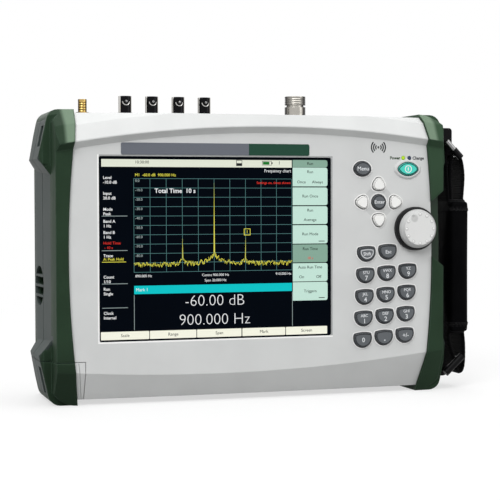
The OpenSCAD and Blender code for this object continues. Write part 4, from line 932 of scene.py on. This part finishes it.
# printed signs on the panel: generic words beside the lamps and a wireless mark
signSetup = {"face": -40.0, "word": 2.3, "bold": -0.045, "wordDepth": 0.04,
             "lampWords": [("Power", 112.9, 177.5, "RIGHT", "inkGreen"),
                           ("Charge", 122.9, 177.5, "LEFT", "inkDark")],
             "arcs": (95.3, 185.4), "arcRadii": (2.2, 3.9, 5.6), "arcThick": 1.15, "spread": 44,
             "dotRadius": 0.5, "dotThick": 0.9, "flat": 0.1}


def buildSigns(setup):
    face, flat = setup["face"], setup["flat"]
    for words, x, z, align, ink in setup["lampWords"]:
        printed = lettering(words, x, z, face, setup["word"], setup["wordDepth"], align, slim=setup["bold"])
        settle("lampWord" + words, [printed], ink, "case")
    x, z = setup["arcs"]
    lines = [drawnLine(arcSpots(x, z, setup["dotRadius"], 0, 330, 10), face, setup["dotThick"], flat)]
    for radius in setup["arcRadii"]:
        for middle in (0, 180):
            spots = arcSpots(x, z, radius, middle - setup["spread"], middle + setup["spread"], 10)
            lines.append(drawnLine(spots, face, setup["arcThick"], flat))
    settle("wirelessMark", lines, "inkDark", "case")


buildSigns(signSetup)
print("plate and signs set")


# legends on the keys, each riding on its own key: text, lift above the middle, height
legendSetup = {"face": -42.0, "depth": 0.04, "bold": -0.016, "lean": 2.27, "origin": (82.6, 41.4),
               "column": (17.0, 1.35), "row": (0.75, 16.1), "digit": (-2.0, 3.5), "word": (2.1, 2.2),
               "letters": ["ABC", "DEF", "GHI", "JKL", "MNO", "PQR", "STU", "VWX", "YZ"],
               "others": {"key_0": ("0", 0, 3.5), "key_point": (".", 0, 5.5), "key_sign": ("+/-", 0, 3.2),
                          "key_shift": ("Shift", 0, 2.6), "key_escape": ("Esc", 0, 2.7)},
               "upright": {"key_enter": ("Enter", 0, 2.7), "key_menu": ("Menu", 0, 3.0)}}
keyCells = {"key_%d" % (i + 1): (i % 3, 1 + i // 3) for i in range(9)}
keyCells.update({"key_0": (0, 0), "key_point": (1, 0), "key_sign": (2, 0),
                 "key_shift": (0, 4), "key_escape": (1, 4)})
keyPlaces = {"key_enter": (95.4, 144.5), "key_menu": (82.3, 169.3), "key_power": (118.7, 169.3)}


def cellPlace(column, row):
    return [start + across * column + upward * row for start, across, upward in
            zip(legendSetup["origin"], legendSetup["column"], legendSetup["row"])]


keyPlaces.update({name: cellPlace(*cell) for name, cell in keyCells.items()})


def keyLegend(key, lean, lines):
    face, depth, bold = (legendSetup[name] for name in ("face", "depth", "bold"))
    parts = []
    for words, lift, height in lines:
        dx, dz = turned(0, lift, lean)
        x, z = keyPlaces[key][0] + dx, keyPlaces[key][1] + dz
        parts.append(lettering(words, x, z, face, height, depth, "CENTER", lean, bold))
    settle("legend_" + key, parts, "inkPale", key)


def buildLegends(setup):
    for i, letters in enumerate(setup["letters"]):
        lines = [(str(i + 1),) + setup["digit"], (letters,) + setup["word"]]
        keyLegend("key_%d" % (i + 1), setup["lean"], lines)
    for key, line in setup["others"].items():
        keyLegend(key, setup["lean"], [line])
    for key, line in setup["upright"].items():
        keyLegend(key, 0, [line])


buildLegends(legendSetup)


# the power key's sign: a pale ring with a short bar
powerSetup = {"ring": 2.5, "bar": 1.2, "thick": 0.8, "flat": 0.12}


def buildPowerSign(setup):
    x, z = keyPlaces["key_power"]
    ring = arcSpots(x, z, setup["ring"], 90, 450, 28)
    bar = [(x, z - setup["bar"]), (x, z), (x, z + setup["bar"])]
    parts = [drawnLine(spots, legendSetup["face"], setup["thick"], setup["flat"]) for spots in (ring, bar)]
    settle("legend_key_power", parts, "inkWhite", "key_power")


buildPowerSign(powerSetup)


# painted shadow in the gap round each key, a painted highlight outside it and painted shade just inside its
# face: a key's outline is where a few discs meet, each middle across, middle up, radius
outlineSetup = {"bowl": 7.0, "height": 10.7, "arch": 25.0, "menu": (14.2, 10.7), "power": (17.0, 9.8),
                "enter": 5.5, "arrow": 10.2, "arrowTip": 5.1, "navRing": 13.2, "panel": -40.0,
                "powerRim": 1.3, "gapShadowOut": 0.32, "gapShadowThick": 0.5, "gapShadowFlat": 0.16,
                "rimIn": 0.85, "rimThick": 0.75, "highlightOut": 1.0, "highlightThick": 0.9, "thin": 0.05}


def almondDiscs(width, height):
    arc = (width ** 2 + height ** 2) / (4 * height)
    return [(0, height / 2 - arc, arc), (0, arc - height / 2, arc), (0, 0, width / 2 - 0.4)]


def keyOutlines(setup):
    shield = [(0, setup["bowl"] - setup["height"] / 2, setup["bowl"]),
              (0, setup["height"] / 2 - setup["arch"], setup["arch"])]
    outlines = {name: (keyPlaces[name], shield, legendSetup["lean"]) for name in keyCells}
    outlines["key_menu"] = (keyPlaces["key_menu"], almondDiscs(*setup["menu"]), 0)
    outlines["key_power"] = (keyPlaces["key_power"], almondDiscs(*setup["power"]), 0)
    outlines["key_enter"] = (keyPlaces["key_enter"], [(0, 0, setup["enter"])], 0)
    reach = setup["arrow"] / math.sqrt(3)
    x, z = keyPlaces["key_enter"]
    for name, angle in (("key_right", 0), ("key_up", 90), ("key_left", 180), ("key_down", 270)):
        turn = math.radians(angle)
        corners = [math.radians(angle + 120 * i) for i in range(3)]
        discs = [(reach * math.cos(corner), reach * math.sin(corner), setup["arrow"]) for corner in corners]
        place = (x + setup["navRing"] * math.cos(turn), z + setup["navRing"] * math.sin(turn))
        outlines[name] = (place, discs + [(0, 0, setup["arrowTip"])], 0)
    return outlines


def outlineSpots(outline, grow, steps=48):
    (x, z), discs, lean = outline
    spots = []
    for i in range(steps + 1):
        turn = 2 * math.pi * i / steps
        reaches = []
        for middleX, middleZ, radius in discs:
            along = middleX * math.cos(turn) + middleZ * math.sin(turn)
            reaches.append(along + math.sqrt(along ** 2 - middleX ** 2 - middleZ ** 2 + (radius + grow) ** 2))
        dx, dz = turned(min(reaches) * math.cos(turn), min(reaches) * math.sin(turn), lean)
        spots.append((x + dx, z + dz))
    return spots


def buildOutlines(setup, outlines):
    gapShadows, edgeHighlights = [], []
    # painted shadow: a dark line in the gap round each key
    for name, outline in outlines.items():
        face = setup["panel"] - (setup["powerRim"] if name == "key_power" else 0)
        spots = outlineSpots(outline, setup["gapShadowOut"])
        gapShadows.append(drawnLine(spots, face, setup["gapShadowThick"], setup["gapShadowFlat"]))
    settle("keyGapShadows", gapShadows, "inkDark", "case")
    # painted highlight: a pale line on the panel's edge round each key but the power key
    for name, outline in outlines.items():
        if name != "key_power":
            spots = outlineSpots(outline, setup["highlightOut"])
            edgeHighlights.append(drawnLine(spots, setup["panel"], setup["highlightThick"], setup["thin"]))
    settle("keyEdgeHighlights", edgeHighlights, "inkWhite", "case")
    # painted shade: a dark line just inside the edge of each key's face, bar the arrows
    for name, outline in outlines.items():
        if name not in arrowKeys:
            spots = outlineSpots(outline, -setup["rimIn"])
            rim = drawnLine(spots, legendSetup["face"], setup["rimThick"], setup["thin"])
            settle("rim_" + name, [rim], "inkTeal" if name == "key_power" else "inkDark", name)


# pale line inside the edge of the Shift key
shiftSetup = {"inset": 2.2, "thick": 0.55, "flat": 0.12}


def buildShiftLine(setup, outline):
    spots = outlineSpots(outline, -setup["inset"])
    line = drawnLine(spots, legendSetup["face"], setup["thick"], setup["flat"])
    settle("shiftLine", [line], "inkPale", "key_shift")


outlines = keyOutlines(outlineSetup)
buildOutlines(outlineSetup, outlines)
buildShiftLine(shiftSetup, outlines["key_shift"])
print("key legends and outlines set")


# pale domes in the knob's marks, and bright tips on the studs of the four connectors
domeSetup = {"ring": 10.9, "step": 30, "skip": 120, "radius": 0.9, "proud": 0.42,
             "studX": -89.1, "studStep": 20.098, "studs": 4, "studFace": -5.93, "studZ": 218.8,
             "studRadius": 0.9, "studProud": 0.4}


def dome(x, z, face, radius, proud):
    bpy.ops.mesh.primitive_uv_sphere_add(segments=14, ring_count=8, radius=radius * mm,
                                         location=(x * mm, face * mm, z * mm))
    piece = fixPlace()
    openEdit(piece, "EDGE")
    bpy.ops.mesh.bisect(plane_co=(0, face * mm, 0), plane_no=(0, -1, 0), clear_inner=True)
    bpy.ops.mesh.select_all(action="DESELECT")
    bpy.ops.mesh.select_non_manifold()
    bpy.ops.mesh.edge_face_add()  # closes the flat back
    bpy.ops.mesh.select_all(action="SELECT")
    bpy.ops.transform.resize(value=(1, proud / radius, 1), center_override=(0, face * mm, 0))
    closeEdit()
    return piece


def buildDomes(setup):
    low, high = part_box("knob_cap")
    middleX, middleZ = (low[0] + high[0]) / 2 / mm, (low[2] + high[2]) / 2 / mm
    turns = [math.radians(angle) for angle in range(0, 360, setup["step"]) if angle != setup["skip"]]
    marks = [dome(middleX + setup["ring"] * math.cos(turn), middleZ + setup["ring"] * math.sin(turn),
                  low[1] / mm, setup["radius"], setup["proud"]) for turn in turns]
    settle("knobMarks", marks, "inkWhite", "knob")
    tips = [dome(setup["studX"] + setup["studStep"] * i, setup["studZ"], setup["studFace"],
                 setup["studRadius"], setup["studProud"]) for i in range(setup["studs"])]
    settle("studTips", tips, "brightWire", "case")


buildDomes(domeSetup)


# painted shade: dark crosses on the five screws on the back, for the shade in their cross slots
screwSetup = {"face": 41.5, "spots": [(-121, 193), (121, 193), (121, 24), (52, 14), (-100, 36)], "arm": 2.0,
              "width": 0.75, "corner": 0.2}


def buildScrewSlotShades(setup):
    arm, half, face, corner = setup["arm"], setup["width"] / 2, setup["face"], setup["corner"]
    bars = []
    for x, z in setup["spots"]:
        bars.append(slab(x - arm, z - half, x + arm, z + half, face, -0.04, corner))
        bars.append(slab(x - half, z - arm, x + half, z + arm, face, -0.05, corner))
    settle("screwSlotShades", bars, "inkDark", "case")


buildScrewSlotShades(screwSetup)
print("knob marks, stud tips and screw slots set")


# hand strap: two loops of woven tape with an inner fold, drawn as routes across and up
strapSetup = {"middleY": -7.0, "tapeWidth": 28.0, "tapeThick": 2.3, "step": 1.7, "strands": 8,
              "edgeBump": 0.7,
              "upperLoop": [(173.0, 140), (173.4, 148), (174.2, 158), (174.4, 166), (173.2, 175),
                            (171.1, 181), (170.0, 183.4), (168, 184.3), (165.6, 184.4), (162.6, 184.1),
                            (160.3, 183.1), (159.6, 179), (159.9, 172), (160.5, 163), (161.1, 153),
                            (162.0, 140)],
              "upperFold": [(164.0, 142), (163.7, 152), (163.4, 161), (163.6, 170), (164.3, 177),
                            (164.9, 181.4)],
              "lowerLoop": [(173.2, 49), (174.4, 42), (175.2, 34), (175.3, 26), (175.0, 19), (173.8, 13.6),
                            (171.6, 11.6), (169.5, 12.9), (168.5, 17), (167.4, 21.5), (165.4, 27),
                            (163.2, 34), (162.0, 42), (162.0, 49)]}


def curveValue(p, q, r, s, t):
    square, cube = 2 * p - 5 * q + 4 * r - s, 3 * q - p - 3 * r + s
    return 0.5 * (2 * q + (r - p) * t + square * t * t + cube * t ** 3)


def smoothRoute(points, step, parts=40):
    ends = [points[0]] + list(points) + [points[-1]]
    fine = []
    for four in zip(ends, ends[1:], ends[2:], ends[3:]):
        for i in range(parts):
            fine.append([curveValue(*values, i / parts) for values in zip(*four)])
    fine.append(list(points[-1]))
    kept, run = [fine[0]], 0.0
    for before, here in zip(fine, fine[1:]):
        run += math.dist(before, here)
        if run >= step:
            kept.append(here)
            run = 0.0
    return kept


def buildTape(name, points, setup):
    route = smoothRoute(points, setup["step"])
    wide, strands = setup["tapeWidth"] * mm, setup["strands"]
    nearEdge = (setup["middleY"] - setup["tapeWidth"] / 2) * mm
    piece = edgeChain([(x * mm, nearEdge, z * mm) for x, z in route])
    openEdit(piece, "EDGE")
    for strand in range(strands):
        bpy.ops.mesh.extrude_edges_move(TRANSFORM_OT_translate={"value": (0, wide / strands, 0)})
    closeEdit()
    # the weave's map runs along the tape and across it
    lengths = [0.0]
    for before, here in zip(route, route[1:]):
        lengths.append(lengths[-1] + math.dist(before, here) * mm)

    def nearestRow(spot):
        place = (spot.co.x / mm, spot.co.z / mm)
        return min(range(len(route)), key=lambda i: math.dist(route[i], place))

    rows = [nearestRow(spot) for spot in piece.data.vertices]
    weave = piece.data.uv_layers.new(name="weave")
    for loop in piece.data.loops:
        spot = piece.data.vertices[loop.vertex_index]
        weave.data[loop.index].uv = (lengths[rows[spot.index]], spot.co.y - nearEdge)
    # every other row of both edges stands out, as the weft's turns do
    for side, edge in ((-1, nearEdge), (1, nearEdge + wide)):
        openEdit(piece, "VERT")
        choose(piece, "vertices", lambda spot: abs(spot.co.y - edge) < 0.0001 and rows[spot.index] % 2 == 0)
        bpy.ops.transform.translate(value=(0, side * setup["edgeBump"] * mm, 0))
        closeEdit()
    modify(piece, "SOLIDIFY", thickness=setup["tapeThick"] * mm, offset=0.0, use_even_offset=True)
    soften(piece, 1)
    smoothBelow(piece, 60)
    return settle(name, [piece], "webbing", "hand_strap")


# black keepers on the lower half of the ring's two arms; shares run down each arm and past its end
keeperSetup = {"top": (159.4, 190.0), "low": (168.0, 181.0), "sides": (-24.5, 10.5), "thick": 5.2,
               "shares": (0.55, 0.7, 0.85, 1.0, 1.15, 1.24)}


def buildKeepers(setup):
    spots = [[a + (b - a) * share for a, b in zip(setup["top"], setup["low"])] for share in setup["shares"]]
    keepers = [roundLine(spots, side, setup["thick"], 3) for side in setup["sides"]]
    settle("ringKeepers", keepers, "strapPlastic", "hand_strap")


buildKeepers(keeperSetup)
upperTape = buildTape("tapeUpper", strapSetup["upperLoop"], strapSetup)
buildTape("tapeFold", strapSetup["upperFold"], strapSetup)
buildTape("tapeLower", strapSetup["lowerLoop"], strapSetup)
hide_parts("strap_webbing")


# padded sleeve: a slim block is blown up as cloth, held at its sewn ends
sleeveSetup = {"middle": (168.0, -7.2, 94.5), "size": (16.4, 42.4, 101.0), "corner": 4.0, "voxel": 3.0,
               "pressure": 4.0, "frames": 20, "heldEnd": 9.0, "cap": 2.6, "inner": 158.8, "outer": 178.6,
               "front": -30.5, "back": 16.0, "fill": 0.75}


def blowUp(piece, setup):
    low, top = ((setup["middle"][2] + half * setup["size"][2] / 2) * mm for half in (-1, 1))
    held = piece.vertex_groups.new(name="held")
    for spot in piece.data.vertices:
        near = min(spot.co.z - low, top - spot.co.z) / (setup["heldEnd"] * mm)
        held.add([spot.index], max(0.0, min(1.0, 1.4 - near)), "REPLACE")
    before = [spot.co.copy() for spot in piece.data.vertices]
    cloth = piece.modifiers.new("cloth", "CLOTH")
    cloth.settings.use_pressure = True
    cloth.settings.uniform_pressure_force = setup["pressure"]
    cloth.settings.vertex_group_mass = "held"
    cloth.settings.effector_weights.gravity = 0
    cloth.point_cache.frame_start = 1
    cloth.point_cache.frame_end = setup["frames"]
    for step in range(1, setup["frames"] + 1):
        bpy.context.scene.frame_set(step)
    pick(piece)
    bpy.ops.object.modifier_apply(modifier="cloth")
    bpy.context.scene.frame_set(1)
    for spot, rest in zip(piece.data.vertices, before):
        shift = spot.co - rest
        if shift.length > setup["cap"] * mm:
            spot.co = rest + shift.normalized() * setup["cap"] * mm


def buildSleeve(setup):
    piece = roundedBlock(setup["middle"], setup["size"], setup["corner"], 4)
    modify(piece, "REMESH", mode="VOXEL", voxel_size=setup["voxel"] * mm)
    blowUp(piece, setup)
    soften(piece, 2)
    for spot in piece.data.vertices:
        spot.co.x = min(max(spot.co.x, setup["inner"] * mm), setup["outer"] * mm)
        spot.co.y = min(max(spot.co.y, setup["front"] * mm), setup["back"] * mm)
    pick(piece)
    bpy.ops.object.shade_smooth()
    settle("gripSleeve", [piece], "grip", "hand_strap")
    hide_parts("strap_pad")


buildSleeve(sleeveSetup)


# knitted bands over both ends of the sleeve, each narrowing to the tape
bandSetup = {"size": (17.2, 43.0, 10.0), "corner": 5.5, "middles": (47.0, 142.0), "rings": 12, "swell": 1.018,
             "neck": (0.80, 0.72), "shoulder": 1.7, "fill": 0.6}


def buildBand(name, height, outward, setup):
    middle = sleeveSetup["middle"][:2] + (height,)
    piece = roundedBlock(middle, setup["size"], setup["corner"], 5)
    low, rings = height - setup["size"][2] / 2, setup["rings"]
    heights = [low + setup["size"][2] * i / rings for i in range(rings + 1)]
    for ring in heights[1:-1]:
        cutLevel(piece, ring)
    for i, ring in enumerate(heights):
        share = (i / rings if outward > 0 else 1 - i / rings) ** setup["shoulder"]
        swell = setup["swell"] if i % 2 else 1.0
        widths = [(1 - (1 - neck) * share) * swell for neck in setup["neck"]]
        openEdit(piece, "VERT")
        choose(piece, "vertices", lambda spot: abs(spot.co.z - ring * mm) < 0.00005)
        bpy.ops.transform.resize(value=widths + [1], center_override=[value * mm for value in middle])
        closeEdit()
    soften(piece, 1)
    smoothBelow(piece, 50)
    settle(name, [piece], "knit", "hand_strap")


buildBand("gripBandLow", bandSetup["middles"][0], -1, bandSetup)
buildBand("gripBandTop", bandSetup["middles"][1], 1, bandSetup)


# the tape's turned-up end, in front of the upper lug
endSetup = {"middle": (162.1, -18.2, 184.4), "size": (6.0, 4.9, 7.6), "corner": 1.2}
tapeEnd = roundedBlock(endSetup["middle"], endSetup["size"], endSetup["corner"], 3)
settle("tapeEnd", [tapeEnd], "webbing", "hand_strap")
print("hand strap made")


# floor, world and soft lamps
stageSetup = {"floor": 8.0, "floorShade": 0.35, "nearShade": 0.9, "whiteNear": 0.62, "fade": (0.3, 0.9),
              "world": 0.30, "aim": (0, 0, 0.1)}
lampSetups = [{"place": (-1.1, -1.7, 1.7), "size": 1.4, "power": 41},
              {"place": (0.2, -0.2, 2.0), "size": 1.6, "power": 18},
              {"place": (1.6, -1.2, 0.9), "size": 1.2, "power": 9},
              {"place": (0.3, 1.9, 1.2), "size": 1.6, "power": 14}]


# one where the camera, a mirror or a glass looks straight at it, so that the ground shows white there
def directRays(flow):
    camera, mirror, glass = [flow.add("ShaderNodeLightPath", out=name)
                             for name in ("Is Camera Ray", "Is Glossy Ray", "Is Transmission Ray")]
    return camera.larger(mirror).larger(glass)


def grey(shade):
    return (shade, shade, shade, 1)


def buildFloor(setup):
    bpy.ops.object.select_all(action="DESELECT")
    bpy.ops.mesh.primitive_grid_add(x_subdivisions=8, y_subdivisions=8, size=setup["floor"])
    floor = bpy.context.object
    floor.name = "paleFloor"
    finish = bpy.data.materials.new("paleFloor")
    flow = freshFlow(finish)
    coords = flow.add("ShaderNodeTexCoord", out="Object")
    shown = directRays(flow)
    grain = coords.noise(6, 2) * 0.02
    shade = (shown - grain).blend(grey(setup["floorShade"]), grey(setup["nearShade"]))
    matte = flow.add("ShaderNodeBsdfPrincipled", None, {"Base Color": shade, "Roughness": 0.9})
    white = flow.add("ShaderNodeEmission", None, {"Color": grey(1), "Strength": 1.0})
    reach = flow.add("ShaderNodeVectorMath", {"operation": "LENGTH"}, {0: coords}, out="Value")
    away = reach.ease(*setup["fade"])
    share = shown * (setup["whiteNear"] + away * (1 - setup["whiteNear"]))
    surface = flow.add("ShaderNodeMixShader", None, {0: share, 1: matte, 2: white})
    flow.add("ShaderNodeOutputMaterial", None, {"Surface": surface})
    floor.data.materials.append(finish)


def buildWorld(setup):
    world = bpy.data.worlds.new("studio")
    bpy.context.scene.world = world
    sky = freshFlow(world)
    soft = sky.add("ShaderNodeBackground", None, {"Color": grey(1), "Strength": setup["world"]})
    plain = sky.add("ShaderNodeBackground", None, {"Color": grey(1), "Strength": 1.0})
    surface = sky.add("ShaderNodeMixShader", None, {0: directRays(sky), 1: soft, 2: plain})
    sky.add("ShaderNodeOutputWorld", None, {"Surface": surface})


def buildLamps(setups, aim):
    for setup in setups:
        place = Vector(setup["place"])
        turn = (Vector(aim) - place).to_track_quat("-Z", "Y").to_euler()
        bpy.ops.object.light_add(type="AREA", location=place, rotation=turn)
        lamp = bpy.context.object
        lamp.data.size = setup["size"]
        lamp.data.energy = setup["power"]


buildFloor(stageSetup)
buildWorld(stageSetup)
buildLamps(lampSetups, stageSetup["aim"])
bpy.context.scene.view_settings.view_transform = "Standard"
print("stage and lamps set")
